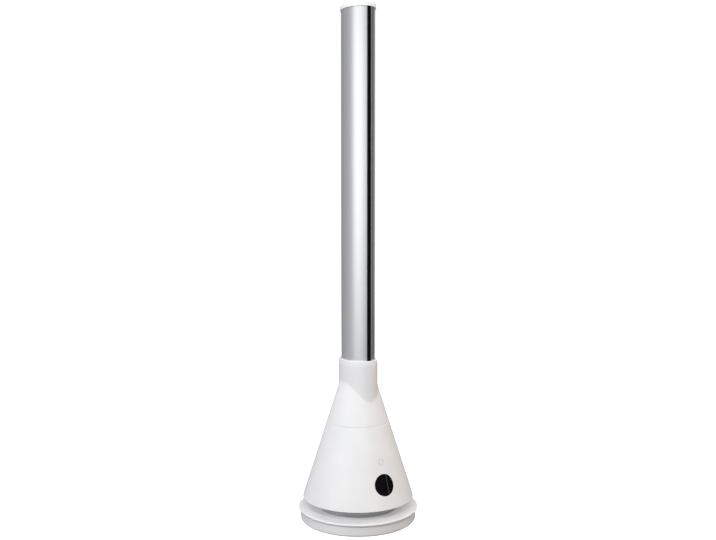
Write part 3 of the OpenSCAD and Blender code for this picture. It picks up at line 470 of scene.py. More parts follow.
@dataclass(frozen=True)
class Finish:
    """A surface: two close tones, a gloss that wanders a little, and a fine relief.

    The pattern sizes are real ones in millimetres. The stretch draws the pattern out along an
    axis, and the depth is that of the relief.
    """

    name: str
    slot: str
    colour: str
    shade: str
    roughness: float
    wander: float = 0.03
    tone_size: float = 30.0
    grain_size: float = 1.2
    depth: float = 0.004
    stretch: tuple[float, float, float] = (1.0, 1.0, 1.0)
    metal: float = 0.0
    ior: float = 1.5
    specks: str = "TexNoise"
    shader: dict = field(default_factory=dict, hash=False)

    def material(self) -> bpy.types.Material:
        """The finish as a material, made once."""
        made = bpy.data.materials.get(self.name)
        if made is not None:
            return made
        made = bpy.data.materials.new(self.name)
        tree = empty_tree(made)
        place = add_node(tree, "TexCoord").outputs["Object"]
        drawn = add_node(tree, "Mapping", {"Scale": self.stretch}, {"Vector": place})
        tone = add_node(tree, "TexNoise", {"Scale": 1 / (self.tone_size * MM),
                        "Detail": 3.0}, {"Vector": drawn.outputs[0]})
        grain = add_node(tree, self.specks, {"Scale": 1 / (self.grain_size * MM)},
                         {"Vector": drawn.outputs[0]})
        paint = add_node(tree, "Mix", {"data_type": "RGBA", 6: linear(self.colour),
                         7: linear(self.shade)}, {0: self.mask(tree, tone, grain)})
        gloss = add_node(tree, "MapRange", {"To Min": self.roughness - self.wander,
                         "To Max": self.roughness + self.wander}, {"Value": tone.outputs[0]})
        bump = add_node(tree, "Bump", {"Distance": self.depth * MM},
                        {"Height": grain.outputs[0]})
        sets = {"Metallic": self.metal, **({} if self.metal else {"IOR": self.ior}), **self.shader}
        skin = add_node(tree, "BsdfPrincipled", sets, {"Base Color": paint.outputs[2],
                        "Roughness": gloss.outputs[0], "Normal": bump.outputs[0]})
        add_node(tree, "OutputMaterial", None, {"Surface": skin.outputs[0]})
        return made

    def mask(self, tree: Tree, tone: Node, grain: Node) -> Socket:
        """Where the second tone lies: wide soft clouds."""
        return add_node(tree, "MapRange", {"From Min": 0.35, "From Max": 0.65},
                        {"Value": tone.outputs[0]}).outputs[0]


@dataclass(frozen=True)
class TrackedBoard(Finish):
    """Solder mask over copper tracks, which show as paler straight runs."""

    track: float = 2.2

    def mask(self, tree: Tree, tone: Node, grain: Node) -> Socket:
        """Where the tracks lie: the walls of a square cell pattern."""
        place = add_node(tree, "TexCoord").outputs["Object"]
        cells = add_node(tree, "TexVoronoi", {"distance": "CHEBYCHEV",
                         "Scale": 1 / (self.track * MM)}, {"Vector": place})
        return add_node(tree, "MapRange", {"From Min": 0.42, "From Max": 0.5},
                        {"Value": cells.outputs["Distance"]}).outputs[0]


@dataclass(frozen=True)
class WoundWire(Finish):
    """Enamelled wire laid side by side, one dark gap for each turn."""

    wire: float = 0.6

    def mask(self, tree: Tree, tone: Node, grain: Node) -> Socket:
        """Where the gaps lie: level bands, one for each turn of wire."""
        place = add_node(tree, "TexCoord").outputs["Object"]
        return add_node(tree, "TexWave", {"bands_direction": "Z",
                        "Scale": 0.314 / (self.wire * MM)}, {"Vector": place}).outputs[1]


# White ABS, moulded in a polished tool: clean and even, with a soft gloss and the faint
# orange peel of thick plastic.
WHITE_ABS = Finish("white ABS, satin moulded", "white_abs", "#f1f1f1", "#ecedee", 0.36, 0.03,
    60, 1.6, 0.003, ior=1.53)
# Black ABS from a fine spark-eroded tool: a dull black that only greys at grazing angles.
BLACK_ABS = Finish("black ABS, spark-eroded", "black_abs", "#101113", "#17181a", 0.52, 0.05,
    25, 0.5, 0.012, ior=1.53)
# Grey ABS of the hidden mouldings: mid grey with a plain matt face.
GREY_ABS = Finish("grey ABS, matt moulded", "grey_abs", "#3b3c3f", "#444548", 0.55, 0.05,
    25, 0.6, 0.01, ior=1.53)
# Lighter grey ABS of the intake drum: matt, and lit only through the gap under the skirt.
DRUM_ABS = Finish("light grey ABS, matt moulded", "grey_abs", "#bcbdc0", "#b6b7bb", 0.5, 0.05,
    25, 0.6, 0.01, ior=1.53)
# Acetal, machined and moulded: milky, slightly waxy, and soft at its edges.
ACETAL = Finish("acetal, natural", "natural_acetal", "#e6e2d6", "#dcd8ca", 0.38, 0.05, 12,
    0.8, 0.004, ior=1.48, shader={"Subsurface Weight": 0.1,
    "Subsurface Radius": (0.001, 0.001, 0.0008)})
# Bright steel, turned: fine rings that catch the light.
BRIGHT_STEEL = Finish("steel, turned bright", "bright_steel", "#a9abae", "#989a9e", 0.26, 0.06,
    6, 0.35, 0.004, (1, 1, 6), 1.0)
# Zinc plate on screws: a bright, slightly cloudy grey.
ZINC_PLATE = Finish("steel, zinc plated", "zinc_plated_steel", "#b9bab8", "#a8aaab", 0.34, 0.06,
    2.5, 0.25, 0.003, metal=1.0)
# Cast iron, as cast and painted thinly: dark and rough to the touch.
CAST_IRON = Finish("iron, as cast", "cast_iron", "#3a3b3d", "#2c2d2f", 0.7, 0.08, 9, 1.3, 0.12,
    specks="TexVoronoi")
# Black rubber, moulded: a deep grey without a highlight.
RUBBER = Finish("rubber, moulded black", "black_rubber", "#1b1b1b", "#232323", 0.78, 0.05, 8,
    0.7, 0.02, shader={"Sheen Weight": 0.08})
# Closed-cell foam: matt, with cells that show as fine pits.
FOAM = Finish("foam, closed cell", "grey_foam", "#424346", "#36373a", 0.92, 0.04, 6, 0.8, 0.15,
    ior=1.4, specks="TexVoronoi")
# Glass-epoxy board under green solder mask, with tracks that show as paler runs.
BOARD = TrackedBoard("board, green solder mask", "circuit_board", "#0c3a22", "#14522f", 0.4, 0.05,
    5, 0.4, 0.01, ior=1.55)
# Enamelled copper wire, wound: warm, glossy turns with dark gaps between them.
WINDING = WoundWire("copper wire, enamelled", "copper_winding", "#c0703a", "#5c2f17", 0.32, 0.05,
    4, 0.6, 0.05, metal=1.0)
# Smoked acrylic, polished: near black, with one clear reflection.
ACRYLIC = Finish("acrylic, smoked", "smoked_acrylic", "#07080b", "#090a0d", 0.035, 0.01, 20, 3.0,
    0.001, ior=1.49, shader={"Specular IOR Level": 0.15})
# Extruded aluminium, etched and anodised: satin, with the die's faint lines down its length.
ALUMINIUM = Finish("aluminium, satin anodised", "anodised_aluminium", "#e6e7e9", "#e1e2e5", 0.40,
    0.02, 3, 0.45, 0.0012, (1, 1, 0.004), 1.0)
# Pad-printed ink: a thin flat grey.
INK = Finish("ink, pad printed grey", "white_abs", "#b9babd", "#b0b1b4", 0.6, 0.03, 2, 0.2, 0.001)

INNER = {
    WHITE_ABS: "joining_ring",
    BLACK_ABS: "power_module display_frame ir_receiver button_guide column_socket top_bracket "
               "impeller spinner",
    DRUM_ABS: "turntable",
    GREY_ABS: "fan_housing bell_mouth diffuser motor_cover tact_switch",
    ACETAL: "ring_gear pivot_post thrust_washer ball_cage drive_pinion",
    BRIGHT_STEEL: "lower_race upper_race retaining_clip swing_motor pinion_shaft motor_shaft "
                  "motor_case",
    ZINC_PLATE: "pan_screws post_screws grille_screws swing_motor_screws board_screws "
                "cone_screws housing_screws socket_screws cap_screws bearing_balls impeller_nut "
                "motor_bearings",
    CAST_IRON: "counterweight rotor_magnet",
    RUBBER: "motor_mounts",
    FOAM: "duct_seal column_gasket",
    BOARD: "power_board control_board display_board",
    WINDING: "motor_stator",
}


def dress(piece: Piece, finish: Finish, body: Body, *nodes: str, corner: float = 32) -> Piece:
    """Shades a finished piece, gives it its finish and hands it to its body.

    Args:
        piece: the finished mesh.
        finish: its finish.
        body: the body that it moves with.
        nodes: the plain solids that it stands for.
        corner: edges sharper than this stay sharp, in degrees.

    Returns:
        The same piece.
    """
    Bench.focus(piece)
    bpy.ops.object.shade_smooth_by_angle(angle=math.radians(corner))
    Bench.modify(piece, "WEIGHTED_NORMAL", keep_sharp=True, weight=50)
    piece.data.materials.clear()
    piece.data.materials.append(finish.material())
    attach(piece, body.value)
    if nodes:
        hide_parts(*nodes)
    LOG.info("%s: %d faces, %s", piece.name, len(piece.data.polygons), finish.name)
    Bench.clear()
    return piece


@dataclass
class SaucerBase:
    """The drum that the fan stands on, its saucer with the well, its feet and its gland."""

    drum_r: float = 114.0
    edge_r: float = 5.0
    foot_h: float = 2.0
    wall: float = 2.5
    lip_z: float = 23.5
    top_z: float = 28.0
    lip_r: float = 118.0
    lip_edge: float = 2.0
    well_r: float = 78.9926
    well_z: float = 14.0
    well_edge: float = 1.5
    bore_r: float = 8.007
    rib_r: float = 84.193
    rib_t: float = 1.25
    rib_h: float = 5.0
    spigot_r: float = 111.2
    spigot_h: float = 3.0
    screw_r: float = 71.9926
    screw_hole: float = 1.75
    head_r: float = 3.2
    head_h: float = 1.5
    post_screw_r: float = 17.7744
    foot_r: float = 8.0
    foot_at: float = 98.0
    foot_play: float = 0.15
    gland_z: float = 13.7
    gland_hole: float = 5.02
    stop_r: float = 55.477
    stop_half: float = 2.0
    stop_h: float = 4.0
    swing: float = 41.0
    board_y: float = 96.746
    board_w: float = 50.0
    board_d: float = 22.0126
    post_r: float = 2.4
    post_h: float = 2.5
    sink: float = 0.3

    def build(self) -> None:
        """Builds and dresses the four pieces."""
        dress(self.pan(), WHITE_ABS, Body.BASE, "base_pan")
        dress(self.cover(), WHITE_ABS, Body.BASE, "base_cover")
        dress(self.feet(), RUBBER, Body.BASE, "rubber_feet")
        dress(self.gland(), RUBBER, Body.BASE, "cord_gland")

    def pan(self) -> Piece:
        """The drum: a turned shell with recesses for feet and screws, a rib and board posts."""
        r, e, low, floor = self.drum_r, self.edge_r, self.foot_h, self.foot_h + self.wall
        rib, rib_in, rib_top = self.rib_r, self.rib_r - self.rib_t, floor + self.rib_h
        section = Profile("base_pan_shell", (0, low)).to((r - e - 8, low), (r - e, low))
        section.bend((r - e, low + e), 90, 10).to((r, self.lip_z), (r - self.wall, self.lip_z))
        section.to((r - self.wall, low + e)).bend((r - e, low + e), -90, 6)
        section.to((rib, floor), (rib, rib_top), (rib_in, rib_top), (rib_in, floor), (0, floor))
        pan = section.lathe()
        far_x, far_y = self.board_w / 2 - self.post_r, self.board_d / 2 - self.post_r
        for x, y in CORNERS:
            post = Bench.rod(self.post_r, floor - self.sink, floor + self.post_h,
                             (x * far_x, self.board_y + y * far_y))
            Bench.combine(pan, post, Join.ADD)
        holes = Bench.rods(self.foot_r + self.foot_play, low - 1, low + 1, self.foot_at, 6, 30)
        Bench.combine(pan, holes, Join.CUT)
        for radius, top in ((self.head_r, low + self.head_h), (self.screw_hole, floor + 1)):
            holes = Bench.rods(radius, low - 1, top, self.screw_r, 6, sides=32)
            Bench.combine(pan, holes, Join.CUT)
        hole = Bench.place(Bench.rod(self.gland_hole, -10, 10), self.at_back(90))
        return Bench.combine(pan, hole, Join.CUT)

    def at_back(self, tip: float) -> Matrix:
        """The gland's place in the drum's back, tipped by an angle in degrees."""
        spot = Vector((0, self.drum_r, self.gland_z)) * MM
        return Matrix.Translation(spot) @ Matrix.Rotation(math.radians(tip), 4, "X")

    def cover(self) -> Piece:
        """The saucer: a rounded lip, a flat top and the well that the turret stands in."""
        top, lip, e, w = self.top_z, self.lip_r, self.lip_edge, self.wall
        well, mouth, under = self.well_r, self.well_edge, self.well_z - self.wall
        spigot, spigot_in, spigot_z = self.spigot_r, self.spigot_r - w, self.lip_z - self.spigot_h
        section = Profile("base_saucer", (self.bore_r, under))
        section.to((self.bore_r, self.well_z), (well, self.well_z))
        section.to((well, top - mouth)).bend((well + mouth, top - mouth), -90, 8)
        section.to((well + 4, top), (lip - e - 3, top), (lip - e, top))
        section.bend((lip - e, top - e), -90, 8).to((lip, self.lip_z + e))
        section.bend((lip - e, self.lip_z + e), -90, 8).to((spigot, self.lip_z))
        section.to((spigot, spigot_z), (spigot_in, spigot_z), (spigot_in, top - w))
        section.to((well + w, top - w), (well + w, under), (self.bore_r, under))
        cover = section.lathe()
        for count, at, turn in ((6, self.screw_r, 0), (3, self.post_screw_r, 30)):
            boss = Bench.rods(BOSS_R, self.foot_h + w, under + 1, at, count, turn, 32)
            Bench.combine(cover, boss, Join.ADD)
            pilot = Bench.rods(PILOT_R, 0, under - 0.2, at, count, turn, 24)
            Bench.combine(cover, pilot, Join.CUT)
        at, half = self.stop_r, self.stop_half
        turn = self.swing + math.degrees(math.atan(2 * half / at))
        for side in (-1, 1):
            stop = Bench.block((at - half, -half, under + 1),
                               (at + half, half, self.well_z + self.stop_h))
            Bench.bevel(stop, 0.4, 2)
            Bench.combine(cover, Bench.turn(stop, side * turn - 90), Join.ADD)
        return cover

    def feet(self) -> Piece:
        """Six soft pucks, each rounded where it meets the floor and dished a little."""
        r, edge, dish, top = self.foot_r, 0.8, 0.3, 3
        section = Profile("rubber_feet_set", (0, dish)).to((r - 3.2, dish), (r - 2.4, 0))
        section.to((r - edge, 0)).bend((r - edge, edge), 90, 6).to((r, top), (0, top))
        foot = Bench.place(section.lathe(64), Matrix.Translation((self.foot_at * MM, 0, 0)))
        return Bench.around(Bench.turn(foot, 30), 6)

    def gland(self) -> Piece:
        """The rubber gland in the drum's back, open for a cord."""
        bore, neck, flange, end, soft, rise = 3.3, 5, 6.5, -6.5, 0.5, 1.32
        section = Profile("cord_gland_ring", (bore, end)).to((neck, end), (neck, -4.6))
        section.to((flange, -4.6), (flange, -2.8), (neck, -2.8), (neck, 0.02), (flange, 0.02))
        section.to((flange, rise)).bend((flange - soft, rise), 90, 5)
        section.to((bore + soft, rise + soft)).bend((bore + soft, rise), 90, 5).to((bore, end))
        return Bench.place(section.lathe(96), self.at_back(-90))


@dataclass
class IntakeDrum:
    """The slotted drum that shows in the gap under the skirt."""

    radius: float = 75.9926
    wall: float = 2.5
    low: float = 29.6
    high: float = 113.4
    slots: int = 40
    slot_w: float = 5.0
    bar_h: float = 5.0
    flange: float = 10.0
    flange_h: float = 2.4
    screw_r: float = 68.4926
    screw_hole: float = 1.65

    def build(self) -> None:
        """Builds and dresses the drum."""
        heights = self.low, self.high - self.flange_h
        drum = Bench.join(self.drum(), *[self.ring(z) for z in heights])
        dress(drum, DRUM_ABS, Body.TURRET, "intake_grille")

    def drum(self) -> Piece:
        """One slotted stave of the wall, repeated round and given its thickness."""
        half = 180 / self.slots
        slot = math.degrees(math.asin(self.slot_w / 2 / self.radius))
        start = Matrix.Rotation(math.radians(-half), 3, "Z") @ Vector((self.radius, 0, 0))
        pen = Pen("intake_drum", (start.x, start.y, self.low))
        pen.arc((0, 0, self.low), half - slot, 3).arc((0, 0, self.low), 2 * slot, 4)
        pen.arc((0, 0, self.low), half - slot, 3)
        slot_h = (self.high - self.low - 3 * self.bar_h) / 2
        bpy.ops.mesh.select_all(action="SELECT")
        for rise in (self.bar_h, slot_h, self.bar_h, slot_h, self.bar_h):
            Bench.extrude((0, 0, rise))
        bars = [self.low, self.low + self.bar_h + slot_h, self.high - self.bar_h]

        def open_air(face: bmesh.types.BMFace) -> bool:
            """Says whether a face lies in one of the stave's two openings."""
            spot = face.calc_center_median() / MM
            turn = abs(math.degrees(math.atan2(spot.y, spot.x)))
            return turn < slot and not any(z < spot.z < z + self.bar_h for z in bars)

        Bench.pick(pen.piece, "FACE", open_air)
        bpy.ops.mesh.delete(type="FACE")
        drum = Bench.tidy(Bench.around(pen.piece, self.slots))
        if drum.data.polygons[0].normal.dot(drum.data.polygons[0].center) < 0:
            drum.data.flip_normals()
        Bench.modify(drum, "SOLIDIFY", thickness=self.wall * MM, offset=-1)
        Bench.bevel(drum, 0.5, 3)
        return drum

    def ring(self, low: float) -> Piece:
        """A flange inside the drum, with its four screw holes."""
        outer = self.radius - self.wall / 2
        inner = self.radius - self.wall - self.flange
        top = low + self.flange_h
        section = Profile("intake_flange", (outer, low))
        section.to((outer, top), (inner, top), (inner, low), (outer, low))
        ring = section.lathe(192)
        holes = Bench.rods(self.screw_hole, low - 1, top + 1, self.screw_r, 4, 45, 24)
        return Bench.combine(ring, holes, Join.CUT)


@dataclass
class LowerCone:
    """The lower cone shell with its display lens, its power button and the printed mark."""

    cone: Cone = field(default_factory=Cone)
    edge: float = 0.7
    ledge_z: float = 116.4
    ledge_h: float = 2.5
    ledge_w: float = 7.0
    boss_at: float = 80.2926
    boss_h: float = 10.0
    lens_z: float = 91.0
    lens_r: float = 20.5
    lens_t: float = 2.3
    lens_play: float = 0.15
    lens_hole: float = 9.1
    proud: float = 0.2
    button_z: float = 132.6
    button_r: float = 7.25
    button_t: float = 2.0
    button_play: float = 0.25
    button_hole: float = 5.0
    skirt_r: float = 6.05
    rim_deep: float = 2.8
    stem_end: float = 9.0
    rim_r: float = 8.45
    stem_r: float = 2.4
    mark_r: float = 4.3
    mark_open: float = 3.5
    mark_grow: float = 1.18
    bar_w: float = 0.7
    bar_h: float = 3.6
    bar_y: float = 3.4

    def build(self) -> None:
        """Builds and dresses the shell and what sits in its front."""
        dress(self.shell(), WHITE_ABS, Body.TURRET, "lower_cone")
        dress(self.lens(), ACRYLIC, Body.TURRET, "display_lens")
        dress(self.button(), WHITE_ABS, Body.BUTTON, "power_button")
        dress(self.mark(), INK, Body.BUTTON)

    def shell(self) -> Piece:
        """The shell: a turned wall with a soft skirt edge, a ledge and screw bosses."""
        c, e = self.cone, self.edge
        low, high = c.skirt_z, c.seam_z - c.seam_w / 2
        ledge, ledge_top = self.ledge_z, self.ledge_z + self.ledge_h
        inside = [c.radius(z) - c.across for z in (low, ledge, ledge_top, high)]
        ledge_r, skirt = inside[2] - self.ledge_w, c.radius(low) - e - 0.1
        section = Profile("lower_cone_shell", (inside[0] + e, low)).to((skirt, low))
        section.bend((skirt, low + e), 72, 6)
        section.to((c.radius(low + 4), low + 4), (c.radius(high - 4), high - 4),
                   (c.radius(high - c.soft), high - c.soft), (c.radius(high) - c.soft, high),
                   (inside[3], high), (inside[2], ledge_top), (ledge_r, ledge_top),
                   (ledge_r, ledge), (inside[1], ledge), (inside[0] - c.slope * e, low + e),
                   (inside[0] + e, low))
        shell = section.lathe()
        for turn in (45, 135, 225, 315):
            boss = Bench.rod(BOSS_R, ledge + 0.01, ledge + self.boss_h, (self.boss_at, 0), 32)
            Bench.combine(shell, Bench.turn(boss, turn), Join.ADD)
        pilots = Bench.rods(PILOT_R, 100, ledge + self.boss_h - 1, self.boss_at, 4, 45, 24)
        Bench.combine(shell, pilots, Join.CUT)
        for z, radius, deep in (
                (self.lens_z, self.lens_r + self.lens_play, self.lens_hole),
                (self.button_z, self.button_r + self.button_play, self.button_hole)):
            hole = Bench.place(Bench.rod(radius, -deep, 2, sides=128), c.front(z))
            Bench.combine(shell, hole, Join.CUT)
        return shell

    def cone_skin(self, out: float) -> Piece:
        """The cone's bare outside, set out by a distance, as a former to press pieces on."""
        c = self.cone
        far, low, high = out / math.cos(c.slant), 60, 170
        section = Profile("former", (c.radius(low) + far, low))
        return section.to((c.radius(high) + far, high)).lathe(720)

    def pressed(self, piece: Piece, z: float, out: float, thick: float, edge: float) -> Piece:
        """Presses a flat piece on the cone and gives it its thickness.

        Args:
            piece: the flat piece, drawn round the origin.
            z: height of its middle on the cone.
            out: how far it stands out.
            thick: its thickness, inwards.
            edge: rounding of its edges.

        Returns:
            The piece in its place.
        """
        former = self.cone_skin(out)
        where = self.cone.front(z)
        piece.matrix_world = where
        bpy.context.view_layer.update()
        Bench.modify(piece, "SHRINKWRAP", target=former, wrap_method="PROJECT",
                     use_project_z=True, use_negative_direction=True, use_positive_direction=True)
        bpy.data.objects.remove(former)
        Bench.place(piece, where)
        if sum(face.normal.y for face in piece.data.polygons) > 0:
            piece.data.flip_normals()
        Bench.modify(piece, "SOLIDIFY", thickness=thick * MM, offset=-1)
        Bench.bevel(piece, edge, 3, 60)
        return piece

    def disc(self, name: str, radius: float, rings: int) -> Piece:
        """A flat disc of rings round one middle point."""
        Bench.clear()
        bpy.ops.mesh.primitive_circle_add(vertices=96, radius=radius * MM)
        piece = bpy.context.object
        piece.name = piece.data.name = name
        bpy.ops.object.mode_set(mode="EDIT")
        bpy.ops.mesh.select_all(action="SELECT")
        for left in range(rings, 1, -1):
            share = (left - 1) / left
            Bench.extrude()
            bpy.ops.transform.resize(value=(share, share, 1), center_override=(0, 0, 0))
        Bench.extrude()
        bpy.ops.mesh.merge(type="CENTER")
        return Bench.tidy(piece)

    def lens(self) -> Piece:
        """The round smoked lens, which follows the cone and stands a little proud."""
        flat = self.disc("display_lens_cover", self.lens_r, 10)
        return self.pressed(flat, self.lens_z, self.proud, self.lens_t + self.proud, 0.35)

    def button(self) -> Piece:
        """The button: a cap flush with the cone, on its rim and stem."""
        cap = self.pressed(self.disc("power_button_cap", self.button_r, 5), self.button_z, 0,
                           self.button_t, 0.3)
        rim, stem, skirt, end = self.rim_r, self.stem_r, self.skirt_r, -self.stem_end
        deep = self.rim_deep + rim**2 / (2 * self.cone.radius(self.button_z))
        section = Profile("power_button_stem", (0, -1)).to((skirt, -1), (skirt, -deep))
        section.to((rim, -deep), (rim, -deep - 1), (stem, -deep - 1), (stem, end), (0, end))
        return Bench.join(cap, Bench.place(section.lathe(64), self.cone.front(self.button_z)))

    def mark(self) -> Piece:
        """The common power symbol: a ring that is open at its top, round a short bar."""
        Bench.clear()
        bpy.ops.mesh.primitive_circle_add(vertices=72, radius=self.mark_r * MM)
        ring = bpy.context.object
        ring.name = ring.data.name = "power_symbol"
        Bench.pick(ring, "EDGE", lambda edge: sum(v.co.y for v in edge.verts) / 2
                   > self.mark_open * MM)
        bpy.ops.mesh.delete(type="EDGE")
        Bench.pick(ring, "EDGE")
        Bench.extrude()
        bpy.ops.transform.resize(value=(self.mark_grow, self.mark_grow, 1),
                                 center_override=(0, 0, 0))
        Bench.clear()
        bpy.ops.mesh.primitive_grid_add(x_subdivisions=2, y_subdivisions=8, size=1)
        bpy.context.object.scale = (self.bar_w * MM, self.bar_h * MM, 1)
        bpy.context.object.location = (0, self.bar_y * MM, 0)
        ring = Bench.join(ring, Bench.settle())
        return self.pressed(ring, self.button_z, 0.03, 0.08, 0.01)


@dataclass
class UpperCone:
    """The upper cone shell, which runs into the oval neck round the column.

    A fine groove below the neck's top sets off a rim that leans in a little.
    """

    cone: Cone = field(default_factory=Cone)
    neck: Oval = Oval(47.5, 35.5, 26.0)
    opening: Oval = Oval(41.3, 30.8, 20.8)
    top_z: float = 320.0
    lid: float = 4.0
    edge: float = 1.4
    fillet: float = 0.9
    rim_z: float = 311.5
    rim_in: float = 0.8
    fine_z: float = 233.0
    fine_step: float = 1.25
    fine_rings: int = 40

    def build(self) -> None:
        """Builds and dresses the shell."""
        dress(self.shell(), WHITE_ABS, Body.TURRET, "upper_cone", corner=40)

    def shell(self) -> Piece:
        """The shell: turned as a cone, then drawn out to the oval from the crease up.

        Each ring of the turned shell keeps its height. A point's depth below the outside is
        kept too, so that the wall, the lid and its opening follow the oval as they go in.
        """
        c, e, top, b = self.cone, self.edge, self.top_z, self.neck.b
        low, rim = c.seam_z + c.seam_w / 2, b - self.rim_in
        heights = [low, low + c.soft, low + 4] + [low + 4 + i * 9 for i in range(1, 4)]
        heights += [self.fine_z + i * self.fine_step for i in range(self.fine_rings)]
        heights += [290, 300, 308]
        in_deep, lid_deep, lid_z = c.across, b - self.opening.b, top - self.lid
        outside = [(self.plain(z) - (c.soft if z == low else 0), z) for z in heights]
        section = Profile("upper_cone_shell", outside[0]).to(*outside[1:])
        section.to((b, self.rim_z - 0.4), (b - 0.35, self.rim_z), (b - 0.05, self.rim_z + 0.4),
                   (rim, top - e)).bend((rim - e, top - e), 90, 8)
        section.to((rim - e - 1, top), (b - lid_deep + 0.3, top), (b - lid_deep, top - 0.3),
                   (b - lid_deep, lid_z), (b - in_deep, lid_z))
        section.to(*[(self.plain(z) - in_deep, z) for z in reversed(heights)], outside[0])
        shell = section.lathe()
        for vertex in shell.data.vertices:
            spot = vertex.co / MM
            turn = math.atan2(spot.y, spot.x)
            deep = self.plain(spot.z) - math.hypot(spot.x, spot.y)
            inwards = min(max((deep - 1) / (lid_deep - 1), 0), 1)
            share = inwards if spot.z > lid_z - 0.1 else 0
            oval = (self.neck.reach(turn) * (1 - share)
                    + (self.opening.reach(turn) + lid_deep) * share)
            radius = self.soft_max(oval, c.radius(spot.z)) - deep
            vertex.co = Vector((math.cos(turn) * radius, math.sin(turn) * radius, spot.z)) * MM
        return Bench.tidy(shell)

    def plain(self, z: float) -> float:
        """Radius of the section to be turned, at a height."""
        return max(self.neck.b, self.cone.radius(z))

    def soft_max(self, a: float, b: float) -> float:
        """The larger of two radii, with a soft crease where they meet."""
        return (a + b + math.sqrt((a - b) ** 2 + self.fillet**2)) / 2 if b > a - 8 else a


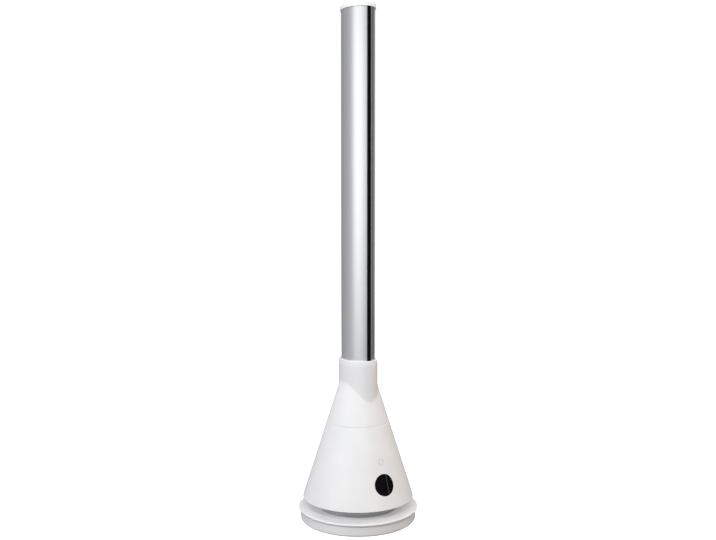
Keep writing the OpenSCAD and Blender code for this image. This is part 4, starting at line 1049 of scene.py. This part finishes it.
@dataclass
class Column:
    """The extruded column, the nozzle strips in its slot and the cap on its top."""

    outline: Oval = Oval(41.0, 30.5, 20.5)
    low: float = 290.0
    high: float = 992.0
    wall: float = 1.8
    slot_w: float = 9.2
    port_r: float = 3.2
    port_y: float = 12.3
    cap_h: float = 8.0
    cap_out: float = 1.6
    cap_edge: float = 2.4
    cap_wall: float = 0.9
    roof: float = 2.2
    peg_r: float = 2.0
    port_sink: float = 0.7
    jet_half: float = 2.5
    strip_back: float = 0.5
    strip_lip: float = 6.1
    strip_reach: float = 8.5
    strip_t: float = 3.4
    strip_deep: float = 15.0
    flare_x: float = 7.0
    tail_x: float = 8.4

    def build(self) -> None:
        """Builds and dresses the three pieces."""
        dress(self.shell(), ALUMINIUM, Body.TURRET, "column_shell")
        dress(self.strips(), BLACK_ABS, Body.TURRET, "nozzle_strips")
        dress(self.cap(), WHITE_ABS, Body.TURRET, "top_cap")

    def trace(self, name: str, oval: Oval, z: float, slot_w: float) -> Pen:
        """Draws the oval from one edge of the slot round to the other.

        Args:
            name: name of the piece.
            oval: the outline.
            z: its height.
            slot_w: width left open at the front, or zero for a full round.

        Returns:
            The pen, still open.
        """
        gap = math.degrees(math.asin(slot_w / 2 / oval.nose))
        centre = oval.a - oval.nose
        meet = math.degrees(math.atan2(oval.side_x(oval.meet_y), oval.meet_y - centre))
        side = 2 * math.degrees(math.atan2(oval.meet_y, oval.side_x(oval.meet_y) + oval.shift))
        pen = Pen(name, (oval.nose * math.sin(math.radians(gap)),
                         -centre - oval.nose * math.cos(math.radians(gap)), z))
        pen.arc((0, -centre, z), meet - gap, 14).arc((-oval.shift, 0, z), side, 56)
        pen.arc((0, centre, z), 2 * meet, 28).arc((oval.shift, 0, z), side, 56)
        return pen.arc((0, -centre, z), meet - gap, 14)

    def shell(self) -> Piece:
        """The extrusion: the slotted wall with its four screw ports."""
        shell = self.trace("column_extrusion", self.outline, self.low, self.slot_w).piece
        bpy.ops.mesh.select_all(action="SELECT")
        Bench.extrude((0, 0, self.high - self.low))
        Bench.tidy(shell)
        face = max(shell.data.polygons, key=lambda part: part.center.x)
        if face.normal.x < 0:
            shell.data.flip_normals()
        Bench.modify(shell, "SOLIDIFY", thickness=self.wall * MM, offset=-1, use_even_offset=True)
        Bench.bevel(shell, 0.35, 3, 50)
        inner = self.outline.grown(-self.wall)
        port_x = inner.side_x(self.port_y) - self.port_r + self.port_sink
        ports = []
        for x, y in CORNERS:
            section = Profile("port", (PILOT_R, self.low)).to((self.port_r, self.low))
            section.to((self.port_r, self.high), (PILOT_R, self.high), (PILOT_R, self.low))
            tube = section.lathe(40)
            spot = Vector((x * port_x, y * self.port_y, 0)) * MM
            tube.data.transform(Matrix.Translation(spot))
            ports.append(tube)
        return Bench.join(shell, *ports)

    def strips(self) -> Piece:
        """The two black strips that shape the air as it leaves the slot."""
        a, nose, edge, jet = self.outline.a, self.outline.nose, self.slot_w / 2, self.jet_half
        front, reach, play = a - self.strip_back, self.strip_reach, 0.3

        def inside(x: float) -> float:
            """How far forward the space inside the nose reaches, at a distance x."""
            return nose - a - math.sqrt((nose - self.wall - play) ** 2 - x * x)

        points = [(edge - play / 2, -front), (edge - play / 2, inside(edge)),
                  (reach, inside(reach)), (reach, inside(reach) + self.strip_t),
                  (self.tail_x, self.strip_deep - a), (self.flare_x, self.strip_deep - a),
                  (jet, self.strip_lip - a), (jet, -front)]
        pen = Pen("nozzle_strip_pair", (jet, -front, self.low))
        strip = pen.line(*[(x, y, self.low) for x, y in points]).prism(self.high - self.low)
        Bench.bevel(strip, 0.35, 3, 25)
        Bench.pick(strip, "VERT")
        bpy.ops.mesh.duplicate()
        bpy.ops.transform.resize(value=(-1, 1, 1), center_override=(0, 0, 0))
        return Bench.tidy(strip)

    def cap(self) -> Piece:
        """The cap: a full round top edge, a soft lower edge, hollow over the bracket."""
        oval = self.outline.grown(self.cap_out)
        cap = self.trace("column_cap", oval, self.high, 0).prism(self.cap_h)
        low, top = self.high * MM, (self.high + self.cap_h) * MM
        for z, width, steps in ((top, self.cap_edge, 10), (low, 0.4, 3)):
            Bench.pick(cap, "EDGE", lambda edge: all(abs(v.co.z - z) < 1e-6 for v in edge.verts))
            bpy.ops.mesh.bevel(offset=width * MM, segments=steps, affect="EDGES")
        Bench.pick(cap, "FACE", lambda face: face.normal.z < -0.99 and len(face.verts) > 8)
        bpy.ops.mesh.inset(thickness=self.cap_wall * MM, use_even_offset=True)
        Bench.extrude((0, 0, self.cap_h - self.roof))
        cap = Bench.tidy(cap)
        peg_y = self.outline.a - self.outline.nose
        pegs = [Bench.rod(self.peg_r, self.high + self.roof, self.high + self.cap_h - 1,
                          (0, side * peg_y), 32) for side in (-1, 1)]
        return Bench.join(cap, *pegs)


def round_fan(azimuth: float, distance: float, height: float) -> Vector:
    """A spot round the fan, at an angle in degrees from its front."""
    turn = math.radians(azimuth)
    return Vector((math.sin(turn) * distance, -math.cos(turn) * distance, height))


@dataclass
class Softbox:
    """One soft rectangular lamp: its place round the fan, size and strength."""

    name: str
    azimuth: float
    distance: float
    height: float
    width: float
    tall: float
    watts: float
    tint: str = "#ffffff"
    light: Light = Light.SPREAD
    aim_z: float = 0.2

    def build(self) -> None:
        """Hangs the lamp, turned to the fan."""
        data = bpy.data.lights.new(self.name, "AREA")
        data.shape, data.size, data.size_y = "RECTANGLE", self.width, self.tall
        data.energy, data.color = self.watts, linear(self.tint)[:3]
        lamp = bpy.data.objects.new(self.name, data)
        bpy.context.scene.collection.objects.link(lamp)
        lamp.location = round_fan(self.azimuth, self.distance, self.height)
        aim = Vector((0, 0, self.aim_z)) - lamp.location
        lamp.rotation_euler = aim.to_track_quat("-Z", "Y").to_euler()
        lamp.visible_camera = False
        lamp.visible_glossy = self.light is Light.MIRRORED
        lamp.visible_diffuse = self.light is not Light.MIRRORED
        data.use_shadow = self.light is not Light.FILL


@dataclass
class Studio:
    """Pale floor, white surroundings, soft lamps and the camera."""

    azimuth: float = -32.0
    distance: float = 1.6575
    height: float = 0.6004
    pitch: float = 3.6986
    lens: float = 42.73
    backdrop: float = 1.05
    mirrored_left: float = 0.50
    mirrored_right: float = 0.12
    room_light: float = 0.31
    lamps: list[Softbox] = field(default_factory=lambda: [
        Softbox("main lamp", -42, 1.81, 1.62, 0.7, 0.7, 19.5, "#f0f7ff"),
        Softbox("left lamp", -95, 2.22, 0.8, 1.2, 1.2, 14, "#f1f6ff"),
        Softbox("front lamp", -18, 1.9, 1.5, 0.5, 0.5, 6, "#fff8ea"),
        Softbox("high fill", -60, 1.15, 2.19, 0.8, 0.8, 6, "#ffffff", Light.FILL),
        Softbox("top fill", -33, 0.3, 2.4, 0.8, 0.8, 5, "#ffffff", Light.FILL),
        Softbox("side lamp", 62, 1.81, 1.62, 0.8, 0.8, 8, "#ffe2d0"),
        Softbox("side fill", 60, 1.76, 1.68, 0.8, 0.8, 11, "#fffaf8", Light.FILL),
        Softbox("back lamp", -172, 1.9, 1.3, 1.0, 1.0, 10, "#fbfcff"),
        Softbox("back side lamp", 122, 1.9, 1.3, 1.0, 1.0, 8, "#f6f9ff"),
        Softbox("left screen", -64, 2.0, 0.95, 2.0, 1.6, 12, "#fafcff", Light.MIRRORED, 0.55),
        Softbox("front screen", -14, 2.4, 1.0, 1.7, 1.5, 6.8, "#fffdfb", Light.MIRRORED, 0.5),
        Softbox("right screen", 118, 2.2, 0.9, 0.8, 1.6, 2, "#ffffff", Light.MIRRORED, 0.5),
        Softbox("strip screen", 39, 2.0, 0.75, 0.05, 0.9, 0.6, "#ffffff", Light.MIRRORED, 0.1),
    ])

    def build(self) -> None:
        """Sets up the whole studio."""
        self.camera()
        self.surroundings()
        for lamp in self.lamps:
            lamp.build()
        bpy.context.scene.view_settings.view_transform = "Standard"

    def camera(self) -> None:
        """The camera, a little above the fan's middle and tipped down a little."""
        data = bpy.data.cameras.new("camera")
        data.lens, data.sensor_width, data.clip_end = self.lens, 36.0, 100.0
        cam = bpy.data.objects.new("camera", data)
        bpy.context.scene.collection.objects.link(cam)
        cam.location = round_fan(self.azimuth, self.distance, self.height)
        cam.rotation_euler = (math.radians(90 - self.pitch), 0, math.radians(self.azimuth))
        bpy.context.scene.camera = cam

    def surroundings(self) -> None:
        """Floor, backdrop and the even light of the room."""
        Bench.clear()
        bpy.ops.mesh.primitive_circle_add(vertices=128, radius=15, fill_type="NGON")
        floor = bpy.context.object
        floor.name = "studio_floor"
        paint = Finish("paint, white floor", "", "#fbfbfb", "#f8f8f8", 0.7, 0.02, 400, 3, 0.01,
                       shader={"Emission Color": linear("#ffffff"), "Emission Strength": 0.9})
        floor.data.materials.append(paint.material())
        floor.visible_glossy = floor.visible_diffuse = False
        drop = self.dome("studio_backdrop", 20, "camera", self.backdrop, self.backdrop)
        tent = self.dome("studio_tent", 18, "glossy", self.mirrored_left, self.mirrored_right)
        world = bpy.data.worlds.new("room")
        bpy.context.scene.world = world
        tree = empty_tree(world)
        light = add_node(tree, "Background", {"Color": linear("#fff5ee"),
                         "Strength": self.room_light})
        add_node(tree, "OutputWorld", None, {"Surface": light.outputs[0]})
        world.cycles_visibility.glossy = False

    def dome(self, name: str, radius: float, ray: str, left: float, right: float) -> Piece:
        """A glowing shell round the studio that only one kind of ray meets.

        Args:
            name: its name.
            radius: its radius in metres.
            ray: camera for the backdrop, or glossy for what shiny surfaces mirror.
            left: glow on the fan's -X side.
            right: glow on its +X side.

        Returns:
            The shell.
        """
        Bench.clear()
        bpy.ops.mesh.primitive_ico_sphere_add(subdivisions=5, radius=radius)
        dome = bpy.context.object
        dome.name = name
        glow = bpy.data.materials.new(f"paper, {name}")
        tree = empty_tree(glow)
        place = add_node(tree, "TexCoord").outputs["Object"]
        across = add_node(tree, "SeparateXYZ", None, {"Vector": place}).outputs["X"]
        power = add_node(tree, "MapRange", {"From Min": -radius, "From Max": radius,
                         "To Min": left, "To Max": right}, {"Value": across})
        light = add_node(tree, "Emission", None, {"Strength": power.outputs[0]})
        add_node(tree, "OutputMaterial", None, {"Surface": light.outputs[0]})
        dome.data.materials.append(glow)
        for other in ("camera", "diffuse", "glossy", "transmission", "shadow", "volume_scatter"):
            setattr(dome, f"visible_{other}", other == ray)
        return dome


def dress_inner() -> None:
    """Gives the inner parts, which keep their solids, their finishes."""
    for finish, names in INNER.items():
        for name in names.split():
            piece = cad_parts[name]
            piece.data.materials.clear()
            piece.data.materials.append(finish.material())
            LOG.info("%s keeps its solid, %s", name, finish.name)


def main() -> None:
    """Builds every part in order."""
    logging.basicConfig(level=logging.INFO, format="%(message)s")
    Bench.clear()
    Studio().build()
    for part in (SaucerBase(), IntakeDrum(), LowerCone(), UpperCone(), Column()):
        part.build()
    dress_inner()
    Bench.clear()


if __name__ == "__main__":
    main()
